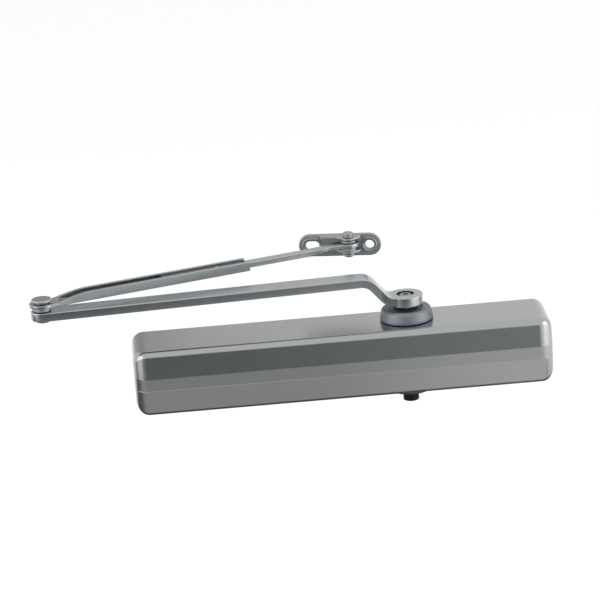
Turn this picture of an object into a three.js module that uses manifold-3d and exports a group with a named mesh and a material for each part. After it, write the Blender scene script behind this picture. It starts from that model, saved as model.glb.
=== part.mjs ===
// Surface-mounted rack-and-pinion door closer with a full cover, a main arm,
// a telescoping forearm and a forked shoe.
// Millimetres. +X runs along the body, the door's face is the plane Y = 0 and the
// cover faces -Y, +Z is up. The origin is the centre of the body's back face.
import * as THREE from "three";
import { mergeVertices } from "three/addons/utils/BufferGeometryUtils.js";
import Module from "manifold-3d";

const wasm = await Module();
wasm.setup();

// ---- driving dimensions -------------------------------------------------
const COVER_LENGTH = 311; // along X
const COVER_HEIGHT = 49; // along Z
const COVER_DEPTH = 54; // out from the door
const COVER_WALL = 2;
const COVER_END_RADIUS = 9; // corners of the front outline
const COVER_FRONT_RADIUS = 10.8; // between the front and the two ends
const COVER_EDGE_RADIUS = 4.8; // between the front and the top
const COVER_FOOT_RADIUS = 3; // between the front and the bottom
const CREASE_HIGH = 4; // upper crease of the front face
const CREASE_LOW = -5.2; // lower crease of the front face
const BROW_LEAN = 1.1; // how far the front face leans back above its upper crease
const CHIN_LEAN = 0.3; // how far it leans back between the creases
const FOOT_LEAN = 1.8; // how far its foot leans back
const HOUSING_LENGTH = 256;
const BORE_RADIUS = 16;
const WALL = 4.5; // housing wall round the bore
const SPINDLE_X = 50;
const SPINDLE_Y = -22;
const SPINDLE_DROP = 2.4; // the spindle's end below the hub's top
const ARM_LENGTH = 269; // spindle to elbow
const ARM_ANGLE = 184.2; // direction of the main arm in plan, degrees
const ARM_WIDTH = 17.2;
const ARM_THICKNESS = 6.5;
const HUB_RADIUS = 13;
const HUB_RISE = 19.5; // the hub's top above the cover's top
const ARM_RISE = 16.7; // from the hub's top up to the bar's top
const BEND_ANGLE = 50;
const LOW_BEND = 9; // radius of the arm's middle at the bend by the hub
const HIGH_BEND = 13; // the same at the bar's end of the crank
const FOREARM_ANGLE = 18.5;
const FOREARM_LENGTH = 245; // elbow to shoe pin
const CHANNEL_LENGTH = 162;
const CHANNEL_WIDTH = 14;
const CHANNEL_WALL = 2.6;
const CHANNEL_HEIGHT = 6.9;
const FLOOR = 1.2;
const LUG_RADIUS = 9.3;
const ROD_THICKNESS = 4;
const ROD_SHANK = 2.6; // thickness of the rod inside the channel
const EYE_THICKNESS = 3.2;
const EYE_RISE = 1.1; // the eye's centre above the rod's centre
const ROD_OVERLAP = 66; // rod inside the channel
const SHOE_ANGLE = -11.7;
const SHOE_HALF_HEIGHT = 8.7;
const SHOE_HOLE_AT = 15;
const SHOE_SLOT_AT = -28.8;
const SHOE_PLATE = 3;
const SHOE_HOLE_RADIUS = 3.5;
const SHOE_SLOT_HALF = 1.9; // half of the slot's straight part
const SHOE_DROP = 3.1; // the plate's centre below the fork's centre
const MODULE = 1.6;
const PINION_TEETH = 10;
const STROKE = 25; // room for the piston's travel, toward -X
const GAP = 0.3; // between pieces that touch or fit in one another
const SCREW_RADIUS = 2.5;

// ---- heights and fits that follow from them ------------------------------
const COVER_TOP = COVER_HEIGHT / 2;
const HUB_TOP = COVER_TOP + HUB_RISE;
const SPINDLE_TOP = HUB_TOP - SPINDLE_DROP;
const BOSS_TOP = COVER_TOP - 0.1;
const BOSS_RADIUS = 16.4;
const CAP_RADIUS = 19.8;
const LOWER_CAP_RADIUS = 18;
const CAP_BASE = COVER_TOP + 0.5;
const PITCH_RADIUS = (MODULE * PINION_TEETH) / 2;
const SHAFT_RADIUS = PITCH_RADIUS;
const PISTON_RADIUS = BORE_RADIUS - GAP;
const BEARING_OUTER = 12;
const BEARING_LOW = BORE_RADIUS + 0.6;
const BEARING_HIGH = COVER_TOP - 3.2;
const ARM_TOP = HUB_TOP + ARM_RISE;
const SPACER_LOW = ARM_TOP + GAP;
const CHANNEL_BOTTOM = ARM_TOP + 3.2;
const CHANNEL_INNER = CHANNEL_WIDTH / 2 - CHANNEL_WALL;
const ROD_BOTTOM = CHANNEL_BOTTOM + FLOOR + GAP;
const ROD_TOP = ROD_BOTTOM + ROD_THICKNESS;
const ROD_HALF_WIDTH = CHANNEL_INNER - GAP;
const LUG_THICKNESS = 2.6;
const LUG_TOP = CHANNEL_BOTTOM + LUG_THICKNESS;
const FORK_CENTRE = (ROD_BOTTOM + ROD_TOP) / 2 + EYE_RISE;
const WASHER = 1.3;
const EAR_INNER = EYE_THICKNESS / 2 + WASHER + 2 * GAP;
const LOW_EAR_INNER = EAR_INNER + 1.5; // the lower washer is thicker
const EAR_THICKNESS = 1.9;
const EYE_RADIUS = 7.8;
const PIN_TO_PLATE = EYE_RADIUS + 0.8;
const PIN_RADIUS = 3;
const HOUSING_HALF = HOUSING_LENGTH / 2;
const HOUSING_HALF_HEIGHT = BORE_RADIUS + WALL - 0.5;
const SLOT_START = SPINDLE_X - PITCH_RADIUS - 3;
const SLOT_END = SPINDLE_X + STROKE + PITCH_RADIUS + 3;
const PISTON_HEAD = 18;
const OUTER_SPRING_RADIUS = 0.775 * BORE_RADIUS; // to the middle of the wire
const OUTER_SPRING_WIRE = 0.11875 * BORE_RADIUS; // radius of the wire
const INNER_SPRING_RADIUS = 0.475 * BORE_RADIUS;
const INNER_SPRING_WIRE = 0.075 * BORE_RADIUS;
const PISTON_START = SLOT_START - PISTON_HEAD;
const PISTON_END = SLOT_END + PISTON_HEAD;
const SEAT_FACE = PISTON_START - 116;
const SEAT_THICKNESS = 6;
const SCREW_HOLE = 4 + GAP;
const DEG = Math.PI / 180;

// ---- shape helpers -------------------------------------------------------
function cleaned(geometry) {
  const bare = geometry.clone();
  bare.deleteAttribute("normal");
  bare.deleteAttribute("uv");
  return mergeVertices(bare, 1e-4);
}

function solid(geometry) {
  const bare = cleaned(geometry);
  const index = bare.index.array;
  const kept = [];
  for (let i = 0; i < index.length; i += 3) {
    const [a, b, c] = [index[i], index[i + 1], index[i + 2]];
    if (a !== b && b !== c && c !== a) kept.push(a, b, c);
  }
  const vertProperties = new Float32Array(bare.attributes.position.array);
  const triVerts = new Uint32Array(kept);
  return new wasm.Manifold(new wasm.Mesh({ numProp: 3, vertProperties, triVerts }));
}

function geometryOf(body) {
  const mesh = body.getMesh();
  const geometry = new THREE.BufferGeometry();
  const positions = new Float32Array(mesh.vertProperties);
  geometry.setAttribute("position", new THREE.BufferAttribute(positions, 3));
  geometry.setIndex(new THREE.BufferAttribute(new Uint32Array(mesh.triVerts), 1));
  geometry.computeVertexNormals();
  return geometry;
}

// A body turned about Z by so many degrees, then moved.
function placed(geometry, x, y, z, turn = 0) {
  const matrix = new THREE.Matrix4().makeRotationZ(turn * DEG);
  matrix.setPosition(x, y, z);
  return geometry.clone().applyMatrix4(matrix);
}

// A box from its low corner to its high corner.
function block(x0, x1, y0, y1, z0, z1) {
  const box = new THREE.BoxGeometry(x1 - x0, y1 - y0, z1 - z0);
  return solid(box.translate((x0 + x1) / 2, (y0 + y1) / 2, (z0 + z1) / 2));
}

// A cylinder from low to high along one axis; across is its centre on the other two.
function rod(axis, radius, low, high, across, sides = 20) {
  const geometry = new THREE.CylinderGeometry(radius, radius, high - low, sides);
  const middle = (low + high) / 2;
  if (axis === "x") geometry.rotateZ(Math.PI / 2).translate(middle, across[0], across[1]);
  if (axis === "y") geometry.translate(across[0], middle, across[1]);
  if (axis === "z") geometry.rotateX(Math.PI / 2).translate(across[0], across[1], middle);
  return solid(geometry);
}

// A turned body: points are [radius, height] up the axis, which lies along Z.
function turned(points, sides = 32) {
  const profile = points.map(([radius, height]) => new THREE.Vector2(radius, height));
  return solid(new THREE.LatheGeometry(profile, sides).rotateX(Math.PI / 2));
}

// A ring between two radii and two heights along Z.
function ring(inner, outer, low, high, sides = 20) {
  return turned([[inner, low], [outer, low], [outer, high], [inner, high], [inner, low]], sides);
}

// The same ring lying along X.
function ringAlongX(inner, outer, low, high, y, z, sides = 20) {
  const geometry = geometryOf(ring(inner, outer, low, high, sides));
  return solid(geometry.rotateY(Math.PI / 2).translate(0, y, z));
}

// A flat outline in X and Y pulled up from low to high.
function plate(shape, low, high, segments = 8) {
  const options = { depth: high - low, bevelEnabled: false, curveSegments: segments };
  return solid(new THREE.ExtrudeGeometry(shape, options).translate(0, 0, low));
}

function circleShape(x, y, radius) {
  const shape = new THREE.Shape();
  shape.absarc(x, y, radius, 0, 2 * Math.PI, false);
  return shape;
}

// A rounded rectangle between two corners.
function roundedShape(x0, x1, y0, y1, radius) {
  const shape = new THREE.Shape();
  shape.absarc(x1 - radius, y0 + radius, radius, -Math.PI / 2, 0, false);
  shape.absarc(x1 - radius, y1 - radius, radius, 0, Math.PI / 2, false);
  shape.absarc(x0 + radius, y1 - radius, radius, Math.PI / 2, Math.PI, false);
  shape.absarc(x0 + radius, y0 + radius, radius, Math.PI, 1.5 * Math.PI, false);
  return shape;
}

// A star with round points, as broached in the arm's hub and cut on the spindle.
function splineShape(outer, inner, points = 12) {
  const shape = new THREE.Shape();
  for (let i = 0; i < 2 * points; i += 1) {
    const radius = i % 2 ? inner : outer;
    const angle = (i * Math.PI) / points;
    const [x, y] = [radius * Math.cos(angle), radius * Math.sin(angle)];
    if (i) shape.lineTo(x, y);
    else shape.moveTo(x, y);
  }
  return shape;
}

function hexShape(acrossFlats) {
  return splineShape(acrossFlats / Math.sqrt(3), acrossFlats / 2, 6);
}

// ---- materials -----------------------------------------------------------
function finish(color, roughness, metalness) {
  return () => new THREE.MeshStandardMaterial({ color, roughness, metalness });
}

const coverPaint = finish(0x9da1a2, 0.38, 0.75);
const armPaint = finish(0x9aa0a3, 0.42, 0.75);
const capPaint = finish(0x8d959d, 0.5, 0.7);
const castIron = finish(0x5c6063, 0.7, 0.6);
const steel = finish(0xb9bcc0, 0.3, 0.95);
const springSteel = finish(0x4a4f57, 0.4, 0.9);
const brass = finish(0xb48f4a, 0.35, 0.9);
const rubber = finish(0x1c1c1e, 0.8, 0);
const blackPlastic = finish(0x111213, 0.5, 0);

const closer = new THREE.Group();
closer.name = "door_closer";

function add(name, body, material) {
  const mesh = new THREE.Mesh(geometryOf(body), material());
  mesh.name = name;
  closer.add(mesh);
  return mesh;
}

// ---- cover ---------------------------------------------------------------
// The section across the body, shrunk by an inset for the inside.
function coverSection(inset) {
  const half = COVER_TOP - inset;
  const edge = Math.max(COVER_EDGE_RADIUS - inset, 1);
  const toe = Math.max(COVER_FOOT_RADIUS - inset, 1);
  const front = -COVER_DEPTH + inset;
  const [brow, foot] = [front + BROW_LEAN, front + FOOT_LEAN];
  const browTilt = Math.atan2(BROW_LEAN, half - edge - CREASE_HIGH);
  const footTilt = Math.atan2(FOOT_LEAN - CHIN_LEAN, half - toe + CREASE_LOW);
  const back = inset ? 5 : 0;
  const section = new THREE.Shape();
  section.moveTo(back, half);
  section.lineTo(brow + edge, half);
  section.absarc(brow + edge, half - edge, edge, Math.PI / 2, Math.PI - browTilt, false);
  section.lineTo(front, CREASE_HIGH);
  section.lineTo(front + CHIN_LEAN, CREASE_LOW);
  section.absarc(foot + toe, toe - half, toe, Math.PI + footTilt, 1.5 * Math.PI, false);
  section.lineTo(back, -half);
  return section;
}

function coverBody(inset) {
  const half = COVER_LENGTH / 2 - inset;
  const [height, front] = [COVER_TOP - inset, COVER_DEPTH - inset];
  const back = inset ? 5 : 0;
  const endRadius = COVER_END_RADIUS - inset;
  const frontRadius = COVER_FRONT_RADIUS - inset;
  const options = { depth: 2 * half, bevelEnabled: false, curveSegments: 5 };
  const section = new THREE.ExtrudeGeometry(coverSection(inset), options);
  // the section's X is the body's Y, its Y is the body's Z
  const turn = new THREE.Matrix4().makeBasis(
    new THREE.Vector3(0, 1, 0),
    new THREE.Vector3(0, 0, 1),
    new THREE.Vector3(1, 0, 0),
  );
  turn.setPosition(-half, 0, 0);
  const long = solid(section.applyMatrix4(turn));
  const outline = roundedShape(-half, half, -height, height, endRadius);
  const faceOptions = { depth: front + back, bevelEnabled: false, curveSegments: 5 };
  const face = new THREE.ExtrudeGeometry(outline, faceOptions);
  const facing = solid(face.rotateX(Math.PI / 2).translate(0, back, 0));
  const plan = new THREE.Shape();
  plan.moveTo(half, back);
  plan.lineTo(-half, back);
  plan.absarc(-half + frontRadius, -front + frontRadius, frontRadius, Math.PI, 1.5 * Math.PI);
  plan.absarc(half - frontRadius, -front + frontRadius, frontRadius, 1.5 * Math.PI, 0);
  return long.intersect(facing).intersect(plate(plan, -height - 1, height + 1));
}

const NOTCH_RADIUS = BOSS_RADIUS + 0.6;
const COVER_SCREW_X = COVER_LENGTH / 2 - 14;
const COVER_SCREW_Y = -COVER_DEPTH / 2;

function makeCover() {
  const notch = rod("z", NOTCH_RADIUS, -40, 40, [SPINDLE_X, SPINDLE_Y], 36);
  const open = [SPINDLE_X - NOTCH_RADIUS, SPINDLE_X + NOTCH_RADIUS];
  let cover = coverBody(0).subtract(coverBody(COVER_WALL));
  cover = cover.subtract(notch).subtract(block(...open, SPINDLE_Y, 6, -40, 40));
  for (const side of [-1, 1]) {
    const at = [side * COVER_SCREW_X, COVER_SCREW_Y];
    cover = cover.subtract(rod("z", SCREW_RADIUS + GAP, -40, -20, at, 14));
  }
  add("cover", cover, coverPaint);
}

// ---- housing -------------------------------------------------------------
const EAR_PLATE = 5;
const EAR_HOLE_AT = 11; // from the end of the housing's bore
const EAR_END = COVER_LENGTH / 2 - COVER_WALL - 1.5;
const VALVE_X = [PISTON_END - 17, PISTON_END - 8, PISTON_END + 1];
const VALVE_PAD = BORE_RADIUS + WALL + 3.5;
const VALVE_HEAD_RADIUS = 3.6;
const CAP_SPIGOT = 13.8; // the part of each cap that sits in the housing
const MOUNTING_HOLE_RADIUS = 3.3;
const MOUNTING_HOLE_HEIGHT = 11;

function makeHousing() {
  const radius = BORE_RADIUS + WALL;
  const section = new THREE.Shape();
  section.moveTo(0, -HOUSING_HALF_HEIGHT);
  section.lineTo(0, HOUSING_HALF_HEIGHT);
  section.lineTo(SPINDLE_Y, HOUSING_HALF_HEIGHT);
  for (let i = 1; i < 12; i += 1) {
    const angle = (i * Math.PI) / 12;
    section.lineTo(SPINDLE_Y - radius * Math.sin(angle), HOUSING_HALF_HEIGHT * Math.cos(angle));
  }
  section.lineTo(SPINDLE_Y, -HOUSING_HALF_HEIGHT);
  const options = { depth: HOUSING_LENGTH, bevelEnabled: false };
  const long = new THREE.ExtrudeGeometry(section, options);
  const turn = new THREE.Matrix4().makeBasis(
    new THREE.Vector3(0, 1, 0),
    new THREE.Vector3(0, 0, 1),
    new THREE.Vector3(1, 0, 0),
  );
  turn.setPosition(-HOUSING_HALF, 0, 0);
  let housing = solid(long.applyMatrix4(turn));
  const at = [SPINDLE_X, SPINDLE_Y];
  housing = housing.add(rod("z", BOSS_RADIUS, -BOSS_TOP, BOSS_TOP, at, 36));
  const ear = HOUSING_HALF_HEIGHT - 1;
  housing = housing.add(block(-EAR_END, EAR_END, -EAR_PLATE, 0, -ear, ear));
  const pad = [VALVE_X[0] - 6, VALVE_X[2] + 6];
  housing = housing.add(block(...pad, SPINDLE_Y - VALVE_PAD, SPINDLE_Y, -7, 7));
  const bore = rod("x", BORE_RADIUS, -HOUSING_HALF - 1, HOUSING_HALF + 1, [SPINDLE_Y, 0], 32);
  housing = housing.subtract(bore);
  housing = housing.subtract(rod("z", BEARING_OUTER + GAP, -40, 40, at, 28));
  for (const side of [-1, 1]) {
    const [low, high] = [side * (BEARING_HIGH + GAP), side * 40];
    const pocket = rod("z", CAP_SPIGOT + GAP, Math.min(low, high), Math.max(low, high), at, 28);
    housing = housing.subtract(pocket);
    for (const height of [-MOUNTING_HOLE_HEIGHT, MOUNTING_HOLE_HEIGHT]) {
      const across = [side * (HOUSING_HALF + EAR_HOLE_AT), height];
      const hole = rod("y", MOUNTING_HOLE_RADIUS, -EAR_PLATE - 1, 1, across, 14);
      housing = housing.subtract(hole);
    }
  }
  for (const x of VALVE_X) {
    const back = SPINDLE_Y - BORE_RADIUS + 2;
    const hole = rod("y", SCREW_RADIUS + GAP, SPINDLE_Y - VALVE_PAD - 1, back, [x, 0], 14);
    const [seal, mouth] = [SPINDLE_Y - VALVE_PAD + 2, SPINDLE_Y - VALVE_PAD - 1];
    const recess = rod("y", VALVE_HEAD_RADIUS + GAP, mouth, seal, [x, 0], 14);
    housing = housing.subtract(hole).subtract(recess);
  }
  add("housing", housing, castIron);
}

// ---- caps, bearings and seals round the spindle --------------------------
const SEAL_OUTER = 11.2;

function upperCap() {
  const [pocket, hole] = [SEAL_OUTER + GAP, SHAFT_RADIUS + 0.6];
  const spigot = BEARING_HIGH + 2 * GAP;
  return turned([
    [pocket, spigot],
    [CAP_SPIGOT, spigot],
    [CAP_SPIGOT, CAP_BASE],
    [CAP_RADIUS, CAP_BASE],
    [CAP_RADIUS - 0.1, CAP_BASE + 1.6],
    [CAP_RADIUS - 0.9, CAP_BASE + 6.6],
    [CAP_RADIUS - 1.8, CAP_BASE + 8.2],
    [CAP_RADIUS - 3.4, CAP_BASE + 8.9],
    [12.4, CAP_BASE + 9],
    [11.2, CAP_BASE + 8],
    [hole, CAP_BASE + 8],
    [hole, CAP_BASE + 3.2],
    [pocket, CAP_BASE + 3.2],
    [pocket, spigot],
  ]);
}

function lowerCap() {
  const [pocket, hole] = [SEAL_OUTER + GAP, SHAFT_RADIUS + 0.6];
  const spigot = BEARING_HIGH + 2 * GAP;
  return turned([
    [pocket, -spigot],
    [pocket, -CAP_BASE - 2.4],
    [hole, -CAP_BASE - 2.4],
    [hole, -CAP_BASE - 5.4],
    [15.2, -CAP_BASE - 5.4],
    [17.2, -CAP_BASE - 4.5],
    [LOWER_CAP_RADIUS, -CAP_BASE - 2.8],
    [LOWER_CAP_RADIUS, -CAP_BASE],
    [CAP_SPIGOT, -CAP_BASE],
    [CAP_SPIGOT, -spigot],
    [pocket, -spigot],
  ]);
}

function makeSpindleStack() {
  const seal = [BEARING_HIGH + GAP, CAP_BASE + 2.9];
  const stack = [
    ["upper_cap", upperCap(), capPaint],
    ["lower_cap", lowerCap(), capPaint],
    ["upper_bearing", ring(SHAFT_RADIUS + GAP, BEARING_OUTER, BEARING_LOW, BEARING_HIGH), steel],
    ["lower_bearing", ring(SHAFT_RADIUS + GAP, BEARING_OUTER, -BEARING_HIGH, -BEARING_LOW), steel],
    ["upper_shaft_seal", ring(SHAFT_RADIUS + GAP, SEAL_OUTER, ...seal), rubber],
    ["lower_shaft_seal", ring(SHAFT_RADIUS + GAP, SEAL_OUTER, 0.8 - seal[1], -seal[0]), rubber],
  ];
  for (const [name, body, material] of stack) {
    add(name, body.translate([SPINDLE_X, SPINDLE_Y, 0]), material);
  }
}

// ---- pinion shaft --------------------------------------------------------
const TOOTH_THICKNESS = MODULE * 1.3; // leaves backlash on both flanks

// The involute's half width, as an angle, at one radius of the tooth.
function toothHalfAngle(radius) {
  const pressure = 20 * DEG;
  const base = PITCH_RADIUS * Math.cos(pressure);
  const here = Math.acos(Math.min(1, base / radius));
  const curl = Math.tan(pressure) - pressure - (Math.tan(here) - here);
  return TOOTH_THICKNESS / (2 * PITCH_RADIUS) + curl;
}

const RACK_ADDENDUM = 0.9;
const PINION_ADDENDUM = 1.4;

function pinionShape() {
  const [root, tip] = [PITCH_RADIUS - RACK_ADDENDUM - 0.5, PITCH_RADIUS + PINION_ADDENDUM];
  const base = PITCH_RADIUS * Math.cos(20 * DEG);
  const flank = [[root, base], [base, base], [PITCH_RADIUS, PITCH_RADIUS], [tip, tip]];
  const shape = new THREE.Shape();
  const points = [];
  for (let tooth = 0; tooth < PINION_TEETH; tooth += 1) {
    const middle = Math.PI / 2 + (tooth * 2 * Math.PI) / PINION_TEETH;
    for (const [radius, at] of flank) points.push([radius, middle - toothHalfAngle(at)]);
    for (const [radius, at] of [...flank].reverse()) {
      points.push([radius, middle + toothHalfAngle(at)]);
    }
  }
  points.forEach(([radius, angle], i) => {
    const [x, y] = [radius * Math.cos(angle), radius * Math.sin(angle)];
    if (i) shape.lineTo(x, y);
    else shape.moveTo(x, y);
  });
  return shape;
}

const PINION_HALF = 9.5;
const RACK_HALF = 9;
const DRIVE_OUTER = 6.7;
const DRIVE_INNER = 5.9;
const DRIVE_START = CAP_BASE + 8.4;
const STUB_RADIUS = 4.2;
const STUB_END = -CAP_BASE - 11.2;

function makePinion() {
  let shaft = plate(pinionShape(), -PINION_HALF - 0.2, PINION_HALF + 0.2);
  shaft = shaft.add(rod("z", SHAFT_RADIUS, PINION_HALF, DRIVE_START, [0, 0], 28));
  shaft = shaft.add(rod("z", SHAFT_RADIUS, -CAP_BASE - 4, -PINION_HALF, [0, 0], 28));
  shaft = shaft.add(plate(splineShape(DRIVE_OUTER, DRIVE_INNER), DRIVE_START - 1, SPINDLE_TOP));
  shaft = shaft.add(rod("z", STUB_RADIUS, STUB_END, -CAP_BASE - 3, [0, 0], 24));
  shaft = shaft.subtract(rod("z", SCREW_RADIUS + GAP, SPINDLE_TOP - 14, SPINDLE_TOP + 1, [0, 0], 20));
  add("pinion_shaft", shaft.translate([SPINDLE_X, SPINDLE_Y, 0]), steel);

  const [head, neck] = [4.8, SPINDLE_TOP + GAP];
  let screw = turned([
    [0, SPINDLE_TOP - 12],
    [SCREW_RADIUS, SPINDLE_TOP - 12],
    [SCREW_RADIUS, neck],
    [head, neck],
    [head, neck + 0.8],
    [head - 1.2, neck + 1.7],
    [0, neck + 1.7],
  ], 24);
  screw = screw.subtract(plate(hexShape(4), neck + 0.6, neck + 3));
  add("arm_screw", screw.translate([SPINDLE_X, SPINDLE_Y, 0]), steel);

  const [plugOuter, plugTop, plugEnd] = [5.9, -CAP_BASE - 5.8, -CAP_BASE - 14];
  const plug = turned([
    [0, STUB_END - GAP],
    [STUB_RADIUS + GAP, STUB_END - GAP],
    [STUB_RADIUS + GAP, plugTop],
    [plugOuter, plugTop],
    [plugOuter, plugEnd + 0.5],
    [plugOuter - 0.5, plugEnd],
    [0, plugEnd],
  ].reverse(), 32);
  add("spindle_plug", plug.translate([SPINDLE_X, SPINDLE_Y, 0]), blackPlastic);
}

// ---- piston and what it carries -------------------------------------------
const SEAL_WIDTH = 2.6;
const SEAL_GROOVE = PISTON_RADIUS - 2.2;
const SEAL_AT = [PISTON_START + 6, PISTON_END - 8];
const BALL_AT = PISTON_END - 6.5;
const BALL_Y = SPINDLE_Y - 6;

function rackTeeth() {
  const line = SPINDLE_Y + PITCH_RADIUS;
  const pitch = Math.PI * MODULE;
  const [tip, root] = [line - RACK_ADDENDUM, line + PINION_ADDENDUM + 0.5];
  const slope = Math.tan(20 * DEG);
  const half = TOOTH_THICKNESS / 2;
  const count = Math.floor(STROKE / pitch) + 4;
  let teeth = block(SLOT_START - 1, SLOT_END + 1, root - 0.05, root + 3, -RACK_HALF, RACK_HALF);
  for (let i = 0; i < count; i += 1) {
    const middle = SPINDLE_X - 1.5 * pitch + i * pitch;
    const tooth = new THREE.Shape();
    tooth.moveTo(middle - half - slope * (root - line), root);
    tooth.lineTo(middle - half + slope * RACK_ADDENDUM, tip);
    tooth.lineTo(middle + half - slope * RACK_ADDENDUM, tip);
    tooth.lineTo(middle + half + slope * (root - line), root);
    teeth = teeth.add(plate(tooth, -RACK_HALF, RACK_HALF));
  }
  return teeth;
}

function makePiston() {
  const centre = [SPINDLE_Y, 0];
  const slot = PITCH_RADIUS + 2.2;
  let piston = rod("x", PISTON_RADIUS, PISTON_START, PISTON_END, centre, 32);
  const opening = [SPINDLE_Y - slot, SPINDLE_Y + slot, -20, 20];
  piston = piston.subtract(block(SLOT_START, SLOT_END, ...opening));
  const inside = rod("x", PISTON_RADIUS - 0.2, SLOT_START - 2, SLOT_END + 2, centre, 32);
  piston = piston.add(rackTeeth().intersect(inside));
  for (const [i, x] of SEAL_AT.entries()) {
    const groove = ringAlongX(SEAL_GROOVE, 20, x - GAP, x + SEAL_WIDTH + GAP, ...centre);
    piston = piston.subtract(groove);
    const name = ["piston_spring_side_seal", "piston_end_side_seal"][i];
    const seal = [SEAL_GROOVE + GAP, BORE_RADIUS - 0.1, x, x + SEAL_WIDTH];
    add(name, ringAlongX(...seal, ...centre), rubber);
  }
  piston = piston.subtract(rod("x", 1.5, SLOT_END - 1, PISTON_END + 1, [BALL_Y, 0], 16));
  piston = piston.subtract(rod("x", 3.3, BALL_AT - 2.4, PISTON_END + 1, [BALL_Y, 0], 24));
  add("piston", piston, steel);
  const ball = new THREE.SphereGeometry(2.4, 12, 8).translate(BALL_AT + 0.6, BALL_Y, 0);
  add("check_ball", solid(ball), steel);
  const retainer = [1.4, 3, PISTON_END - 3, PISTON_END - 1, BALL_Y, 0, 24];
  add("check_ball_retainer", ringAlongX(...retainer), brass);
}

// ---- springs, their seat and the adjusting screw --------------------------
class Helix extends THREE.Curve {
  constructor(radius, start, end, turns) {
    super();
    Object.assign(this, { radius, start, end, turns });
  }

  getPoint(t, target = new THREE.Vector3()) {
    const angle = t * this.turns * 2 * Math.PI;
    const [y, z] = [this.radius * Math.cos(angle), this.radius * Math.sin(angle)];
    return target.set(this.start + (this.end - this.start) * t, SPINDLE_Y + y, z);
  }
}

function coil(radius, wire, turns, steps) {
  const [start, end] = [SEAT_FACE + wire + 0.5, PISTON_START - wire - 0.5];
  const section = new THREE.Shape();
  for (let i = 0; i < 5; i += 1) {
    const [x, y] = [wire * Math.cos(i * 72 * DEG), wire * Math.sin(i * 72 * DEG)];
    if (i) section.lineTo(x, y);
    else section.moveTo(x, y);
  }
  const extrudePath = new Helix(radius, start, end, turns);
  return solid(new THREE.ExtrudeGeometry(section, { steps: turns * steps, extrudePath }));
}

function makeSprings() {
  add("outer_spring", coil(OUTER_SPRING_RADIUS, OUTER_SPRING_WIRE, 7, 10), springSteel);
  add("inner_spring", coil(INNER_SPRING_RADIUS, INNER_SPRING_WIRE, 9, 8), springSteel);
  const centre = [SPINDLE_Y, 0];
  let seat = rod("x", PISTON_RADIUS, SEAT_FACE - SEAT_THICKNESS, SEAT_FACE, centre, 32);
  const spigot = INNER_SPRING_RADIUS - INNER_SPRING_WIRE - 0.5;
  seat = seat.add(rod("x", spigot, SEAT_FACE - 1, SEAT_FACE + 7, centre, 24));
  seat = seat.subtract(rod("x", SCREW_HOLE, SEAT_FACE - 9, SEAT_FACE + 9, centre, 24));
  add("spring_seat", seat, steel);

  const flange = [SEAT_FACE - SEAT_THICKNESS - 4, SEAT_FACE - SEAT_THICKNESS - 1];
  const head = -HOUSING_HALF - 4;
  let screw = rod("x", SCREW_HOLE - GAP, head, SEAT_FACE + 22, centre, 24);
  screw = screw.add(rod("x", 7, ...flange, centre, 24));
  const socket = geometryOf(plate(hexShape(4.5), head - 1, head + 4));
  screw = screw.subtract(solid(socket.rotateY(Math.PI / 2).translate(0, ...centre)));
  add("spring_adjusting_screw", screw, steel);
}

// ---- end plugs -----------------------------------------------------------
function makeEndPlugs() {
  const centre = [SPINDLE_Y, 0];
  for (const side of [-1, 1]) {
    const name = side < 0 ? "left" : "right";
    const inner = HOUSING_HALF - (side < 0 ? 19 : 17);
    const [low, high] = [inner, HOUSING_HALF].map((x) => side * x).sort((a, b) => a - b);
    let plug = rod("x", PISTON_RADIUS, low, high, centre, 32);
    const groove = side * (inner + 5);
    const span = [groove - 1.3, groove + 1.3];
    plug = plug.subtract(ringAlongX(SEAL_GROOVE, 20, span[0] - GAP, span[1] + GAP, ...centre));
    if (side < 0) {
      plug = plug.subtract(rod("x", SCREW_HOLE, low - 1, high + 1, centre, 24));
    } else {
      const key = geometryOf(plate(hexShape(10), HOUSING_HALF - 6, HOUSING_HALF + 1));
      plug = plug.subtract(solid(key.rotateY(Math.PI / 2).translate(0, ...centre)));
    }
    add(`${name}_end_plug`, plug, steel);
    const oring = ringAlongX(SEAL_GROOVE + GAP, BORE_RADIUS - 0.1, ...span, ...centre);
    add(`${name}_plug_oring`, oring, rubber);
  }
}

// ---- regulating valves ----------------------------------------------------
function makeValves() {
  const names = ["backcheck_valve", "latch_valve", "sweep_valve"];
  const mouth = SPINDLE_Y - VALVE_PAD;
  const tip = SPINDLE_Y - BORE_RADIUS - 0.5;
  VALVE_X.forEach((x, i) => {
    let valve = rod("y", SCREW_RADIUS, mouth, tip, [x, 0], 14);
    valve = valve.add(rod("y", VALVE_HEAD_RADIUS, mouth - 1, mouth + 0.3, [x, 0], 14));
    const socket = block(x - 2.6, x + 2.6, mouth - 2, mouth - 0.2, -0.5, 0.5);
    add(names[i], valve.subtract(socket), brass);
    const sleeve = geometryOf(ring(SCREW_RADIUS + 0.15, VALVE_HEAD_RADIUS, 0, 1.2, 20));
    const seal = solid(sleeve.rotateX(Math.PI / 2).translate(x, mouth + 1.8, 0));
    add(`${names[i]}_oring`, seal, rubber);
  });
}

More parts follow.
